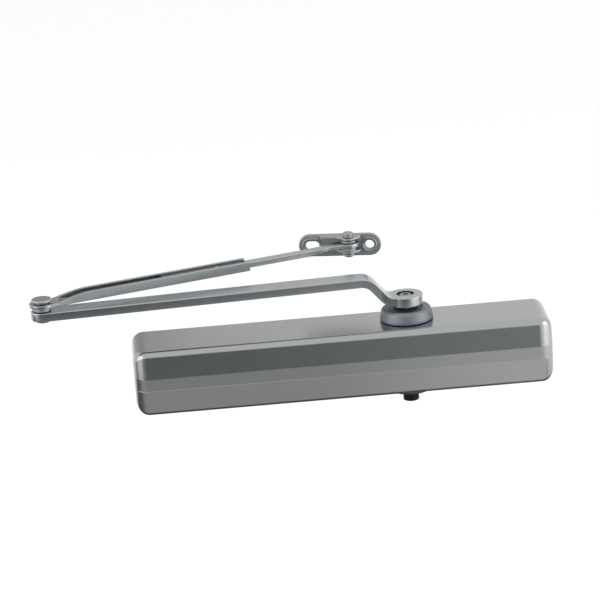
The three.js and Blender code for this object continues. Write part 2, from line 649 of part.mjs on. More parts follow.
// ---- what holds the cover on ----------------------------------------------
function makeCoverFixings() {
  const inner = -COVER_TOP + COVER_WALL;
  for (const side of [-1, 1]) {
    const name = side < 0 ? "left" : "right";
    const [low, high] = [COVER_SCREW_X - 6, COVER_SCREW_X + 6].map((x) => side * x);
    const span = [Math.min(low, high), Math.max(low, high)];
    const [shelf, top] = [inner + GAP, inner + GAP + 2.5];
    let bracket = block(...span, COVER_SCREW_Y - 8, -EAR_PLATE - GAP, shelf, top);
    const upright = [-EAR_PLATE - GAP - 2.5, -EAR_PLATE - GAP, shelf, inner + 14];
    bracket = bracket.add(block(...span, ...upright));
    const at = [side * COVER_SCREW_X, COVER_SCREW_Y];
    bracket = bracket.subtract(rod("z", SCREW_RADIUS + GAP, -40, -10, at, 14));
    add(`${name}_cover_bracket`, bracket, steel);
    let screw = turned([
      [0, -COVER_TOP - 2],
      [3, -COVER_TOP - 2],
      [4.4, -COVER_TOP - 1],
      [4.4, -COVER_TOP - GAP],
      [SCREW_RADIUS, -COVER_TOP - GAP],
      [SCREW_RADIUS, top + 2],
      [0, top + 2],
    ], 24);
    screw = screw.subtract(block(-3, 3, -0.5, 0.5, -COVER_TOP - 3, -COVER_TOP - 1.2));
    add(`${name}_cover_screw`, screw.translate([...at, 0]), steel);
  }
}

// ---- main arm --------------------------------------------------------------
// The arm lies along +X from the spindle, then is turned into place.
function armSideShape() {
  const half = ARM_THICKNESS / 2;
  const [low, high] = [HUB_TOP - half, ARM_TOP - half];
  const bend = BEND_ANGLE * DEG;
  const start = HUB_RADIUS - 3.3;
  const both = LOW_BEND + HIGH_BEND;
  const straight = (ARM_RISE - both * (1 - Math.cos(bend))) / Math.tan(bend);
  const end = start + both * Math.sin(bend) + straight;
  const [up, down] = [-Math.PI / 2, Math.PI / 2];
  const shape = new THREE.Shape();
  shape.moveTo(-HUB_RADIUS - 1, low + half);
  shape.lineTo(-HUB_RADIUS - 1, low - half);
  shape.absarc(start, low + LOW_BEND, LOW_BEND + half, up, up + bend, false);
  shape.absarc(end, high - HIGH_BEND, HIGH_BEND - half, down + bend, down, true);
  shape.lineTo(ARM_LENGTH + ARM_WIDTH, high - half);
  shape.lineTo(ARM_LENGTH + ARM_WIDTH, high + half);
  shape.absarc(end, high - HIGH_BEND, HIGH_BEND + half, down, down + bend, false);
  shape.absarc(start, low + LOW_BEND, LOW_BEND - half, up + bend, up, true);
  return shape;
}

const STUD_RADIUS = 3.4;
const HUB_BOSS = 1.2; // the hub's thickening under the arm

function makeMainArm() {
  const side = new THREE.ExtrudeGeometry(armSideShape(), {
    depth: 2 * HUB_RADIUS + 4,
    bevelEnabled: false,
    curveSegments: 8,
  });
  const upright = solid(side.rotateX(Math.PI / 2).translate(0, HUB_RADIUS + 2, 0));
  const half = ARM_WIDTH / 2;
  const neck = HUB_RADIUS * Math.cos(Math.asin(half / HUB_RADIUS));
  const plan = new THREE.Shape();
  plan.moveTo(neck + 7, -half);
  plan.lineTo(ARM_LENGTH, -half);
  plan.absarc(ARM_LENGTH, 0, half, -Math.PI / 2, Math.PI / 2, false);
  plan.lineTo(neck + 7, half);
  plan.absarc(0, 0, HUB_RADIUS, 55 * DEG, 305 * DEG, false);
  let arm = upright.intersect(plate(plan, 20, 80, 12));
  const under = HUB_TOP - ARM_THICKNESS;
  arm = arm.add(rod("z", HUB_RADIUS - 0.3, under - HUB_BOSS, under + 1, [0, 0], 48));
  const clearance = GAP + 0.05;
  const socket = splineShape(DRIVE_OUTER + clearance, DRIVE_INNER + clearance);
  arm = arm.subtract(plate(socket, 20, 80));
  arm = arm.subtract(rod("z", STUD_RADIUS + GAP, 20, 80, [ARM_LENGTH, 0], 24));
  const mesh = geometryOf(arm);
  const body = solid(placed(mesh, SPINDLE_X, SPINDLE_Y, 0, ARM_ANGLE));
  add("main_arm", body, armPaint);
}

const ELBOW_X = SPINDLE_X + ARM_LENGTH * Math.cos(ARM_ANGLE * DEG);
const ELBOW_Y = SPINDLE_Y + ARM_LENGTH * Math.sin(ARM_ANGLE * DEG);

function makeElbow() {
  const [bottom, foot] = [ARM_TOP - ARM_THICKNESS - GAP, ARM_TOP - ARM_THICKNESS - 1.9];
  const washerTop = LUG_TOP + GAP + WASHER;
  const stud = turned([
    [0, foot],
    [5, foot],
    [5.6, foot + 0.6],
    [5.6, bottom],
    [STUD_RADIUS, bottom],
    [STUD_RADIUS, washerTop + GAP],
    [7.7, washerTop + GAP],
    [7.8, washerTop + 0.8],
    [7.2, washerTop + 1.6],
    [0, washerTop + 1.9],
  ], 28);
  const bush = [STUD_RADIUS + GAP, STUD_RADIUS + 1.2];
  const elbow = [
    ["elbow_stud", stud, armPaint],
    ["elbow_spacer", ring(STUD_RADIUS + GAP, 6.6, SPACER_LOW, CHANNEL_BOTTOM - GAP), steel],
    ["elbow_bush", ring(...bush, CHANNEL_BOTTOM, LUG_TOP), brass],
    ["elbow_washer", ring(STUD_RADIUS + GAP, 5.6, LUG_TOP + GAP, washerTop), steel],
  ];
  for (const [name, body, material] of elbow) {
    add(name, body.translate([ELBOW_X, ELBOW_Y, 0]), material);
  }
}

// ---- forearm ---------------------------------------------------------------
function addForearm(name, body, material) {
  const turnedIntoPlace = placed(geometryOf(body), ELBOW_X, ELBOW_Y, 0, FOREARM_ANGLE);
  add(name, solid(turnedIntoPlace), material);
}

const CLAMP_AT = CHANNEL_LENGTH - 22;
const CLAMP_RADIUS = 2;

function makeForearm() {
  const half = CHANNEL_WIDTH / 2;
  const [bottom, top] = [CHANNEL_BOTTOM, CHANNEL_BOTTOM + CHANNEL_HEIGHT];
  const outline = new THREE.Shape();
  outline.moveTo(CHANNEL_LENGTH, -half);
  outline.lineTo(CHANNEL_LENGTH, half);
  outline.lineTo(20, half);
  outline.absarc(0, 0, LUG_RADIUS, 60 * DEG, 300 * DEG, false);
  outline.lineTo(20, -half);
  // each wall rises from the lug and levels out
  const wall = new THREE.Shape();
  wall.moveTo(9, bottom);
  wall.lineTo(CHANNEL_LENGTH, bottom);
  wall.lineTo(CHANNEL_LENGTH, top);
  wall.lineTo(38, top);
  wall.bezierCurveTo(26, top - 0.1, 17, LUG_TOP + 1.4, 9.5, LUG_TOP - 0.4);
  const walls = new THREE.ExtrudeGeometry(wall, {
    depth: CHANNEL_WIDTH,
    bevelEnabled: false,
    curveSegments: 8,
  });
  const sides = solid(walls.rotateX(Math.PI / 2).translate(0, half, 0));
  let channel = sides.intersect(plate(outline, bottom, top + 1, 10));
  const cavity = [13, CHANNEL_LENGTH + 1, -CHANNEL_INNER, CHANNEL_INNER];
  channel = channel.subtract(block(...cavity, bottom + FLOOR, top + 1));
  channel = channel.add(plate(circleShape(0, 0, LUG_RADIUS), bottom, LUG_TOP, 10));
  channel = channel.add(plate(outline, bottom, bottom + FLOOR, 10));
  channel = channel.subtract(rod("z", STUD_RADIUS + 1.2 + GAP, 40, 90, [0, 0], 24));
  const clampLine = [CLAMP_AT, ROD_BOTTOM + ROD_SHANK / 2];
  channel = channel.subtract(rod("y", CLAMP_RADIUS + GAP, 0, half + 1, clampLine, 16));
  addForearm("forearm_channel", channel, armPaint);

  const start = CHANNEL_LENGTH - ROD_OVERLAP;
  const bar = new THREE.Shape();
  bar.moveTo(start, -ROD_HALF_WIDTH);
  bar.lineTo(FOREARM_LENGTH - 14, -ROD_HALF_WIDTH);
  bar.absarc(FOREARM_LENGTH, 0, EYE_RADIUS, 238 * DEG, 122 * DEG, false);
  bar.lineTo(FOREARM_LENGTH - 14, ROD_HALF_WIDTH);
  bar.lineTo(start, ROD_HALF_WIDTH);
  // from the side: the thin shank, the thicker bar and the raised eye
  const [bend, level] = [FOREARM_LENGTH - 34, FOREARM_LENGTH - 12];
  const beyond = FOREARM_LENGTH + EYE_RADIUS + 2;
  const [eyeLow, eyeHigh] = [-0.5, 0.5].map((k) => FORK_CENTRE + k * EYE_THICKNESS);
  const profile = new THREE.Shape();
  profile.moveTo(start, ROD_BOTTOM);
  profile.lineTo(bend, ROD_BOTTOM);
  profile.bezierCurveTo(bend + 10, ROD_BOTTOM, level - 10, eyeLow, level, eyeLow);
  profile.lineTo(beyond, eyeLow);
  profile.lineTo(beyond, eyeHigh);
  profile.lineTo(level, eyeHigh);
  profile.bezierCurveTo(level - 10, eyeHigh, bend + 10, ROD_TOP, bend, ROD_TOP);
  profile.lineTo(CHANNEL_LENGTH - 1, ROD_TOP);
  profile.lineTo(CHANNEL_LENGTH - 1, ROD_BOTTOM + ROD_SHANK);
  profile.lineTo(start, ROD_BOTTOM + ROD_SHANK);
  const long = new THREE.ExtrudeGeometry(profile, {
    depth: 2 * EYE_RADIUS + 2,
    bevelEnabled: false,
    curveSegments: 6,
  });
  const upright = solid(long.rotateX(Math.PI / 2).translate(0, EYE_RADIUS + 1, 0));
  let inner = upright.intersect(plate(bar, ROD_BOTTOM - 1, eyeHigh + 1, 12));
  inner = inner.subtract(rod("z", PIN_RADIUS + GAP, 40, 90, [FOREARM_LENGTH, 0], 24));
  addForearm("forearm_rod", inner, armPaint);

  const [shoulder, tip] = [half + GAP, ROD_HALF_WIDTH + 0.15];
  let clamp = rod("y", CLAMP_RADIUS, tip, shoulder + 1, clampLine, 16);
  clamp = clamp.add(rod("y", 2.8, shoulder, shoulder + 2, clampLine));
  const key = geometryOf(plate(hexShape(2.6), shoulder + 0.8, shoulder + 3));
  key.rotateX(-Math.PI / 2).translate(CLAMP_AT, 0, clampLine[1]);
  addForearm("forearm_clamp_screw", clamp.subtract(solid(key)), steel);
}

const PIN_X = ELBOW_X + FOREARM_LENGTH * Math.cos(FOREARM_ANGLE * DEG);
const PIN_Y = ELBOW_Y + FOREARM_LENGTH * Math.sin(FOREARM_ANGLE * DEG);

// ---- shoe -------------------------------------------------------------------
// The shoe's own frame has its pin on Z, its plate along X and its back toward +Y.
function plateOutline(grow, from, to, slotHalf) {
  const shape = new THREE.Shape();
  shape.absarc(to, 0, grow, -Math.PI / 2, Math.PI / 2, false);
  shape.absarc(from - slotHalf, 0, grow, Math.PI / 2, 1.5 * Math.PI, false);
  return shape;
}

function addShoe(name, body, material) {
  const [x, y] = [PIN_X, PIN_Y];
  add(name, solid(placed(geometryOf(body), x, y, FORK_CENTRE, SHOE_ANGLE)), material);
}

const EAR_LEFT = -24.5;
const EAR_RIGHT = 8.8;
const EAR_SHELF = 2.2; // the ear's front edge beside the pin
const EAR_NOSE = PIN_RADIUS + 2; // radius of the ear round the pin
const PIN_NECK = 3.6;
const SHOE_WASHER_RADIUS = 5.8;
const PIN_HEAD = 4.2;

// An outline in X and Z pulled from the front to the back of the plate.
function facing(shape, front, back, segments = 8) {
  const options = { depth: back - front, bevelEnabled: false, curveSegments: segments };
  const geometry = new THREE.ExtrudeGeometry(shape, options);
  return solid(geometry.rotateX(Math.PI / 2).translate(0, back, -SHOE_DROP));
}

function makeShoe() {
  const [front, back] = [PIN_TO_PLATE, PIN_TO_PLATE + SHOE_PLATE];
  const slotEnd = SHOE_SLOT_AT + SHOE_SLOT_HALF;
  const rim = SHOE_HOLE_RADIUS + 2.4;
  const outline = plateOutline(SHOE_HALF_HEIGHT, SHOE_SLOT_AT, SHOE_HOLE_AT, SHOE_SLOT_HALF);
  let shoe = facing(outline, front, back);
  shoe = shoe.add(facing(circleShape(SHOE_HOLE_AT, 0, rim), front - 1, back));
  shoe = shoe.add(facing(plateOutline(rim, SHOE_SLOT_AT, slotEnd, SHOE_SLOT_HALF), front - 1, back));
  const ear = new THREE.Shape();
  ear.moveTo(EAR_RIGHT, front + 1);
  ear.lineTo(EAR_LEFT, front + 1);
  ear.lineTo(EAR_LEFT + 4, EAR_SHELF);
  ear.lineTo(-EAR_NOSE - 4, EAR_SHELF - 0.3);
  const meets = [EAR_NOSE * Math.cos(190 * DEG), EAR_NOSE * Math.sin(190 * DEG)];
  ear.quadraticCurveTo(-EAR_NOSE - 1.4, EAR_SHELF - 0.5, ...meets);
  ear.absarc(0, 0, EAR_NOSE, 190 * DEG, 340 * DEG, false);
  ear.lineTo(EAR_RIGHT, EAR_SHELF);
  shoe = shoe.add(plate(ear, EAR_INNER, EAR_INNER + EAR_THICKNESS, 8));
  shoe = shoe.add(plate(ear, -LOW_EAR_INNER - EAR_THICKNESS, -LOW_EAR_INNER, 8));
  shoe = shoe.subtract(rod("z", PIN_RADIUS + GAP, -20, 20, [0, 0], 24));
  shoe = shoe.subtract(facing(circleShape(SHOE_HOLE_AT, 0, SHOE_HOLE_RADIUS), front - 2, back + 1));
  const slot = plateOutline(SHOE_HOLE_RADIUS, SHOE_SLOT_AT, slotEnd, SHOE_SLOT_HALF);
  shoe = shoe.subtract(facing(slot, front - 2, back + 1));
  addShoe("shoe", shoe, armPaint);

  const [seat, lowSeat] = [EAR_INNER, LOW_EAR_INNER].map((z) => z + EAR_THICKNESS + GAP);
  const head = lowSeat + 2.5;
  addShoe("shoe_pin", turned([
    [0, -head],
    [PIN_HEAD - 1, -head],
    [PIN_HEAD, -head + 0.8],
    [PIN_HEAD, -lowSeat],
    [PIN_RADIUS, -lowSeat],
    [PIN_RADIUS, seat],
    [PIN_NECK, seat],
    [PIN_NECK, head - 1.9],
    [PIN_HEAD, head - 1.9],
    [PIN_HEAD, head - 0.8],
    [PIN_HEAD - 1, head],
    [0, head],
  ], 32), armPaint);
  const low = EYE_THICKNESS / 2 + GAP;
  const upper = ring(PIN_RADIUS + GAP, SHOE_WASHER_RADIUS, low, low + WASHER);
  const lower = ring(PIN_RADIUS + GAP, SHOE_WASHER_RADIUS, -LOW_EAR_INNER + GAP, -low);
  addShoe("shoe_upper_washer", upper, steel);
  addShoe("shoe_lower_washer", lower, steel);
}

makeCover();
makeHousing();
makeSpindleStack();
makePinion();
makePiston();
makeSprings();
makeEndPlugs();
makeValves();
makeCoverFixings();
makeMainArm();
makeElbow();
makeForearm();
makeShoe();

export default closer;
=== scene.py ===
import math

import bmesh
import bpy
from bpy.props import FloatProperty, FloatVectorProperty, IntProperty, PointerProperty
from mathutils import Matrix, Vector


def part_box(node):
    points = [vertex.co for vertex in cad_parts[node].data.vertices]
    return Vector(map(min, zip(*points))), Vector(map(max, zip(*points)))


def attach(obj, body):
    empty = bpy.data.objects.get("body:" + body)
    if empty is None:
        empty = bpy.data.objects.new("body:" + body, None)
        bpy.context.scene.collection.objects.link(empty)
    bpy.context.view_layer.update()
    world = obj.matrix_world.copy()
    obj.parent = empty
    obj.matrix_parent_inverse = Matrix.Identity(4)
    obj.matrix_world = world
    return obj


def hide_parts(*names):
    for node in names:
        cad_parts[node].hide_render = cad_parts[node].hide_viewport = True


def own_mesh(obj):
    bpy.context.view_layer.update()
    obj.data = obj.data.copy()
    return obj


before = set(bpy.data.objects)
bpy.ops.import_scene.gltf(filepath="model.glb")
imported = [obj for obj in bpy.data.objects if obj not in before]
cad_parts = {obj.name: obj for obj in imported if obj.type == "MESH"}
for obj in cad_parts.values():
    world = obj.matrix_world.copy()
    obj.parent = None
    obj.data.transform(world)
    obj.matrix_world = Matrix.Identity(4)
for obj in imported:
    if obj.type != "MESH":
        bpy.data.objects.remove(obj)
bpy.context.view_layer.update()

bl_info = {
    "name": "Door closer",
    "version": (1, 0, 0),
    "blender": (4, 5, 0),
    "location": "3D View > Sidebar > Door closer",
    "description": "Builds a surface-mounted door closer with its arms and shoe",
    "category": "Add Mesh",
}

MM = 0.001


def corners(node):
    """A node's low and high corners in millimetres."""
    low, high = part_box(node)
    return low / MM, high / MM


def middle(node):
    """The middle of a node's box in millimetres."""
    low, high = corners(node)
    return (low + high) / 2


def heights(node):
    """The Z of a node's bottom and top in millimetres."""
    low, high = corners(node)
    return low.z, high.z


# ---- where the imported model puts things, in millimetres --------------------
COVER_LOW, COVER_HIGH = corners("cover")
SPINDLE = middle("upper_cap")
ELBOW = middle("elbow_stud")
PIN = middle("shoe_pin")
CLAMP = middle("forearm_clamp_screw")
ARM_TOP = heights("main_arm")[1]
CHANNEL_BOTTOM, CHANNEL_TOP = heights("forearm_channel")
ROD_BOTTOM, EYE_TOP = heights("forearm_rod")
ARM_LENGTH = (ELBOW.xy - SPINDLE.xy).length
ARM_TURN = math.atan2(ELBOW.y - SPINDLE.y, ELBOW.x - SPINDLE.x)
FOREARM_LENGTH = (PIN.xy - ELBOW.xy).length
FOREARM_TURN = math.atan2(PIN.y - ELBOW.y, PIN.x - ELBOW.x)
ALONG_FOREARM = Vector((math.cos(FOREARM_TURN), math.sin(FOREARM_TURN)))
CLAMP_REACH = (CLAMP.xy - ELBOW.xy).dot(ALONG_FOREARM)
AT_SPINDLE = (SPINDLE.x, SPINDLE.y, 0)
AT_ELBOW = (ELBOW.x, ELBOW.y, 0)

# Levels clear of the arms, between which the solids that cut them stand.
UNDER_ARM, UNDER_FOREARM, OVER_ARMS = 20, 50, 90


# ---- sizes and colours a user would change ----------------------------------
def length(name, text, value):
    """A length in metres with its name and what it means."""
    return FloatProperty(
        name=name, description=text, default=value, unit="LENGTH", subtype="DISTANCE", precision=4
    )


def colour(name, text, value):
    """A colour with its name and what it means."""
    return FloatVectorProperty(
        name=name, description=text, default=value, subtype="COLOR", size=3, min=0, max=1
    )


class CoverSizes(bpy.types.PropertyGroup):
    """Sizes of the cover's walls and creases."""

    wall: length("Wall", "Thickness of the cover", 0.002)
    end_radius: length("End corners", "Corners seen from the front", 0.009)
    front_radius: length("Front corners", "Corners between front and ends", 0.0108)
    edge_radius: length("Upper edge", "Edge between the front and the top", 0.0048)
    foot_radius: length("Lower edge", "Edge between the front and the bottom", 0.003)
    crease_high: length("Upper crease", "Height of the upper crease", 0.004)
    crease_low: length("Lower crease", "Height of the lower crease", -0.0052)
    brow_lean: length("Brow lean", "How far the front leans back at its top", 0.0011)
    chin_lean: length("Chin lean", "How far it leans back between the creases", 0.0003)
    foot_lean: length("Foot lean", "How far it leans back at its foot", 0.0018)
    groove_width: length("Groove width", "Width of the two fine grooves", 0.00045)
    groove_depth: length("Groove depth", "Depth of the two fine grooves", 0.00018)
    notch_radius: length("Notch", "Opening round the spindle", 0.017)
    screw_hole: length("Screw holes", "Radius of the holes for the cover screws", 0.0028)


class ArmSizes(bpy.types.PropertyGroup):
    """Sizes of the main arm."""

    width: length("Width", "Width of the bar", 0.0172)
    thickness: length("Thickness", "Thickness of the bar", 0.0065)
    hub_radius: length("Hub radius", "Radius of the hub on the spindle", 0.013)
    hub_top: length("Hub top", "Height of the hub's top face", 0.044)
    boss: length("Boss", "Thickening under the hub", 0.0012)
    low_bend: length("Lower bend", "Middle radius of the bend by the hub", 0.009)
    high_bend: length("Upper bend", "Middle radius of the bend by the bar", 0.013)
    edge: length("Edge", "Rounding along the edges", 0.0008)
    socket_outer: length("Socket tips", "Outer radius of the broached socket", 0.00705)
    socket_inner: length("Socket roots", "Inner radius of the broached socket", 0.00625)
    stud_hole: length("Stud hole", "Radius of the hole for the elbow stud", 0.0037)


class ForearmSizes(bpy.types.PropertyGroup):
    """Sizes of the channel and the rod that slides in it."""

    channel_length: length("Channel length", "Elbow to the channel's end", 0.162)
    channel_width: length("Channel width", "Outside width of the channel", 0.014)
    wall: length("Wall", "Thickness of the channel's walls", 0.0026)
    floor: length("Floor", "Thickness of the channel's floor", 0.0012)
    lug_radius: length("Lug radius", "Radius of the lug at the elbow", 0.0093)
    lug_thickness: length("Lug thickness", "Thickness of the lug", 0.0026)
    rod_start: length("Rod start", "Elbow to the rod's hidden end", 0.096)
    rod_width: length("Rod width", "Width of the rod", 0.0082)
    eye_radius: length("Eye radius", "Radius of the rod's eye", 0.0078)
    eye_hole: length("Eye hole", "Radius of the hole in the eye", 0.0033)
    eye_thickness: length("Eye thickness", "Thickness of the pressed eye", 0.0032)
    rod_thickness: length("Rod thickness", "Thickness of the rod outside the channel", 0.004)
    shank_thickness: length("Shank thickness", "Thickness of the rod inside the channel", 0.0026)


class ShoeSizes(bpy.types.PropertyGroup):
    """Sizes of the forked shoe."""

    turn: FloatProperty(
        name="Turn", description="Turn of the shoe about its pin", unit="ROTATION",
        subtype="ANGLE", default=math.radians(-11.7),
    )
    half_height: length("Half height", "Half the plate's height", 0.0087)
    drop: length("Drop", "Plate's centre below the fork's centre", 0.0031)
    front: length("Plate front", "Pin to the plate's front face", 0.0086)
    thickness: length("Plate thickness", "Thickness of the plate", 0.003)
    hole_at: length("Hole position", "Pin to the round hole", 0.015)
    slot_at: length("Slot position", "Pin to the slot", -0.0288)
    slot_half: length("Slot half length", "Half the slot's straight part", 0.0019)
    hole_radius: length("Hole radius", "Radius of the round hole and the slot", 0.0035)
    upper_gap: length("Upper ear", "Fork's centre to the inside of the upper ear", 0.0035)
    lower_gap: length("Lower ear", "Fork's centre to the inside of the lower ear", 0.005)
    ear_thickness: length("Ear thickness", "Thickness of an ear", 0.0019)
    ear_left: length("Ear left end", "Pin to the ear's foot at its slanted side", -0.0245)
    ear_right: length("Ear right end", "Pin to the ear's straight side", 0.0088)
    ear_shelf: length("Ear shelf", "Front edge of the ear beside the pin", 0.0022)
    ear_nose: length("Ear nose", "Radius of the ear round the pin", 0.005)


class SpringSizes(bpy.types.PropertyGroup):
    """Sizes of the two closing springs."""

    outer_wire: length("Outer wire", "Radius of the outer spring's wire", 0.0019)
    inner_wire: length("Inner wire", "Radius of the inner spring's wire", 0.0012)
    turns: IntProperty(name="Turns", description="Turns of each spring", default=12, min=4)


class Finishes(bpy.types.PropertyGroup):
    """Colours of the finishes."""

    cover_paint: colour("Cover paint", "Silver paint on the cover", (0.385, 0.40, 0.392))
    arm_paint: colour("Arm paint", "Silver paint on the arms", (0.4, 0.423, 0.43))
    shoe_paint: colour("Shoe paint", "Duller paint on the shoe and joints", (0.36, 0.38, 0.385))
    cap_paint: colour("Cap paint", "Bluish silver on the caps", (0.2, 0.217, 0.238))
    cast_iron: colour("Cast iron", "Grey casting of the housing", (0.11, 0.115, 0.12))
    steel: colour("Steel", "Bright turned steel", (0.56, 0.565, 0.57))
    dull_steel: colour("Dull steel", "Steel of the screw in the spindle", (0.3, 0.31, 0.315))
    spring_steel: colour("Spring steel", "Dark oiled spring wire", (0.09, 0.095, 0.105))
    brass: colour("Brass", "Brass of valves and bushes", (0.52, 0.36, 0.13))
    rubber: colour("Rubber", "Black seals", (0.012, 0.012, 0.013))
    black_plastic: colour(
        "Black plastic", "Plug on the spindle's lower end", (0.004, 0.004, 0.0045)
    )


class StageSettings(bpy.types.PropertyGroup):
    """Floor, light and camera."""

    floor_drop: length("Floor drop", "Floor below the object's middle", 0.26)
    camera_distance: length("Camera distance", "Camera to the point it looks at", 2.40802)
    focal_length: FloatProperty(
        name="Focal length", description="Focal length in millimetres", default=195.18
    )


def settings():
    """The sizes and colours that the operators build from."""
    return bpy.context.scene.door_closer


def mm(value):
    """A length in millimetres from one in metres."""
    return value / MM


# ---- shape helpers, all in millimetres ---------------------------------------
def rounded(points, radius, steps=5):
    """A closed outline with every corner turned into an arc, as far as its sides allow."""
    out = []
    count = len(points)
    for i in range(count):
        here = Vector(points[i])
        back = Vector(points[i - 1]) - here
        ahead = Vector(points[(i + 1) % count]) - here
        size = radius[i] if isinstance(radius, (list, tuple)) else radius
        angle = back.angle(ahead)
        if size <= 0 or angle > math.radians(176):
            out.append(here)
            continue
        reach = min(size / math.tan(angle / 2), 0.48 * back.length, 0.48 * ahead.length)
        size = reach * math.tan(angle / 2)
        bisector = (back.normalized() + ahead.normalized()).normalized()
        centre = here + bisector * (size / math.sin(angle / 2))
        first = (here + back.normalized() * reach - centre).normalized()
        last = (here + ahead.normalized() * reach - centre).normalized()
        sweep = first.angle(last)
        for k in range(steps + 1):
            part = k / steps
            a = math.sin((1 - part) * sweep) / math.sin(sweep)
            b = math.sin(part * sweep) / math.sin(sweep)
            out.append(centre + (first * a + last * b) * size)
    return out


def rounded_open(profile, radius):
    """A profile between two points on the axis, with its other corners rounded."""
    radii = [0] + [radius] * (len(profile) - 2) + [0]
    return rounded(profile, radii, 4)


def arc(x, y, radius, start, end, steps):
    """Points along an arc, angles in degrees."""
    points = []
    for k in range(steps + 1):
        angle = math.radians(start + (end - start) * k / steps)
        points.append((x + radius * math.cos(angle), y + radius * math.sin(angle)))
    return points


def circle(x, y, radius, sides):
    """A closed circle's points, or a regular polygon's."""
    return arc(x, y, radius, 0, 360 - 360 / sides, sides - 1)


def curve(p0, p1, p2, p3, steps):
    """Points along a cubic curve, without its first point."""
    points = []
    for k in range(1, steps + 1):
        t = k / steps
        weights = ((1 - t) ** 3, 3 * t * (1 - t) ** 2, 3 * t * t * (1 - t), t**3)
        pairs = list(zip(weights, (p0, p1, p2, p3)))
        points.append((sum(w * p[0] for w, p in pairs), sum(w * p[1] for w, p in pairs)))
    return points


def stadium(x, half, radius, steps):
    """A round-ended outline; half is half its straight part."""
    return arc(x + half, 0, radius, -90, 90, steps) + arc(x - half, 0, radius, 90, 270, steps)


def closed(bm):
    """Merges doubles and turns the faces outward."""
    bmesh.ops.remove_doubles(bm, verts=bm.verts, dist=1e-5)
    bmesh.ops.recalc_face_normals(bm, faces=bm.faces)
    return bm


def prism(outline, low, high, plane="xy"):
    """A solid pulled from a flat outline. In plane xz the outline's second number is Z."""
    bm = bmesh.new()
    rings = []
    for level in (low, high):
        if plane == "xz":
            places = [(x, level, z) for x, z in outline]
        else:
            places = [(x, y, level) for x, y in outline]
        rings.append([bm.verts.new(place) for place in places])
    bm.faces.new(rings[0])
    bm.faces.new(rings[1][::-1])
    count = len(outline)
    for i in range(count):
        j = (i + 1) % count
        bm.faces.new((rings[0][i], rings[0][j], rings[1][j], rings[1][i]))
    return closed(bm)


def turned(profile, sides=72):
    """A solid turned about Z from closed or axis-to-axis points (radius, height)."""
    bm = bmesh.new()
    rings = []
    for radius, height in profile:
        if radius < 1e-6:
            rings.append([bm.verts.new((0, 0, height))] * sides)
            continue
        ring = []
        for k in range(sides):
            angle = 2 * math.pi * k / sides
            ring.append(bm.verts.new((radius * math.cos(angle), radius * math.sin(angle), height)))
        rings.append(ring)
    pairs = list(zip(rings, rings[1:] + rings[:1]))
    if profile[0][0] < 1e-6 and profile[-1][0] < 1e-6:
        pairs = pairs[:-1]
    for lower, upper in pairs:
        for k in range(sides):
            j = (k + 1) % sides
            loop = []
            for vert in (lower[k], lower[j], upper[j], upper[k]):
                if vert not in loop:
                    loop.append(vert)
            if len(loop) > 2:
                bm.faces.new(loop)
    return closed(bm)


def block(x, y, z):
    """A box between pairs of coordinates."""
    return prism([(x[0], y[0]), (x[1], y[0]), (x[1], y[1]), (x[0], y[1])], z[0], z[1])


def lowered(bm, drop):
    """Moves a solid down."""
    bmesh.ops.translate(bm, verts=bm.verts, vec=(0, 0, -drop))
    return bm


def blank(bm, name="blank"):
    """A mesh object in the scene, still in millimetres."""
    mesh = bpy.data.meshes.new(name)
    bm.to_mesh(mesh)
    bm.free()
    obj = bpy.data.objects.new(name, mesh)
    bpy.context.scene.collection.objects.link(obj)
    return obj


def settle(obj):
    """Turns the object's modifiers into plain mesh."""
    bpy.context.view_layer.update()
    graph = bpy.context.evaluated_depsgraph_get()
    mesh = bpy.data.meshes.new_from_object(obj.evaluated_get(graph))
    obj.modifiers.clear()
    obj.data = mesh
    return obj


def combine(obj, solid, operation="DIFFERENCE"):
    """Joins, cuts or intersects the object with a second solid, which is used up."""
    tool = solid if isinstance(solid, bpy.types.Object) else blank(solid, "tool")
    change = obj.modifiers.new("combine", "BOOLEAN")
    change.operation = operation
    change.object = tool
    change.solver = "EXACT"
    settle(obj)
    bpy.data.objects.remove(tool)


def tidy(obj):
    """Merges points left close together by a cut."""
    close = 0.004
    bm = bmesh.new()
    bm.from_mesh(obj.data)
    bmesh.ops.remove_doubles(bm, verts=bm.verts, dist=close)
    bmesh.ops.dissolve_degenerate(bm, edges=bm.edges, dist=close)
    bm.to_mesh(obj.data)
    bm.free()


def soften(obj, width):
    """Rounds the edges sharper than 50 degrees, in three steps."""
    tidy(obj)
    change = obj.modifiers.new("edges", "BEVEL")
    change.width = width
    change.segments = 3
    change.limit_method = "ANGLE"
    change.angle_limit = math.radians(50)
    change.use_clamp_overlap = False
    change.miter_outer = "MITER_ARC"
    return settle(obj)


def finished(obj, name, body, nodes, finish, turn=0.0, place=(0, 0, 0), sharp=34):
    """Names the piece, puts it in place in metres, shades it and ties it to its body."""
    obj.name = name
    obj.data.name = name
    matrix = Matrix.Translation(Vector(place)) @ Matrix.Rotation(turn, 4, "Z")
    obj.data.transform(Matrix.Scale(MM, 4) @ matrix)
    obj.data.shade_smooth()
    obj.data.set_sharp_from_angle(angle=math.radians(sharp))
    weighted = obj.modifiers.new("normals", "WEIGHTED_NORMAL")
    weighted.keep_sharp = True
    obj.data.materials.clear()
    obj.data.materials.append(material(finish))
    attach(obj, body)
    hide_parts(*nodes)


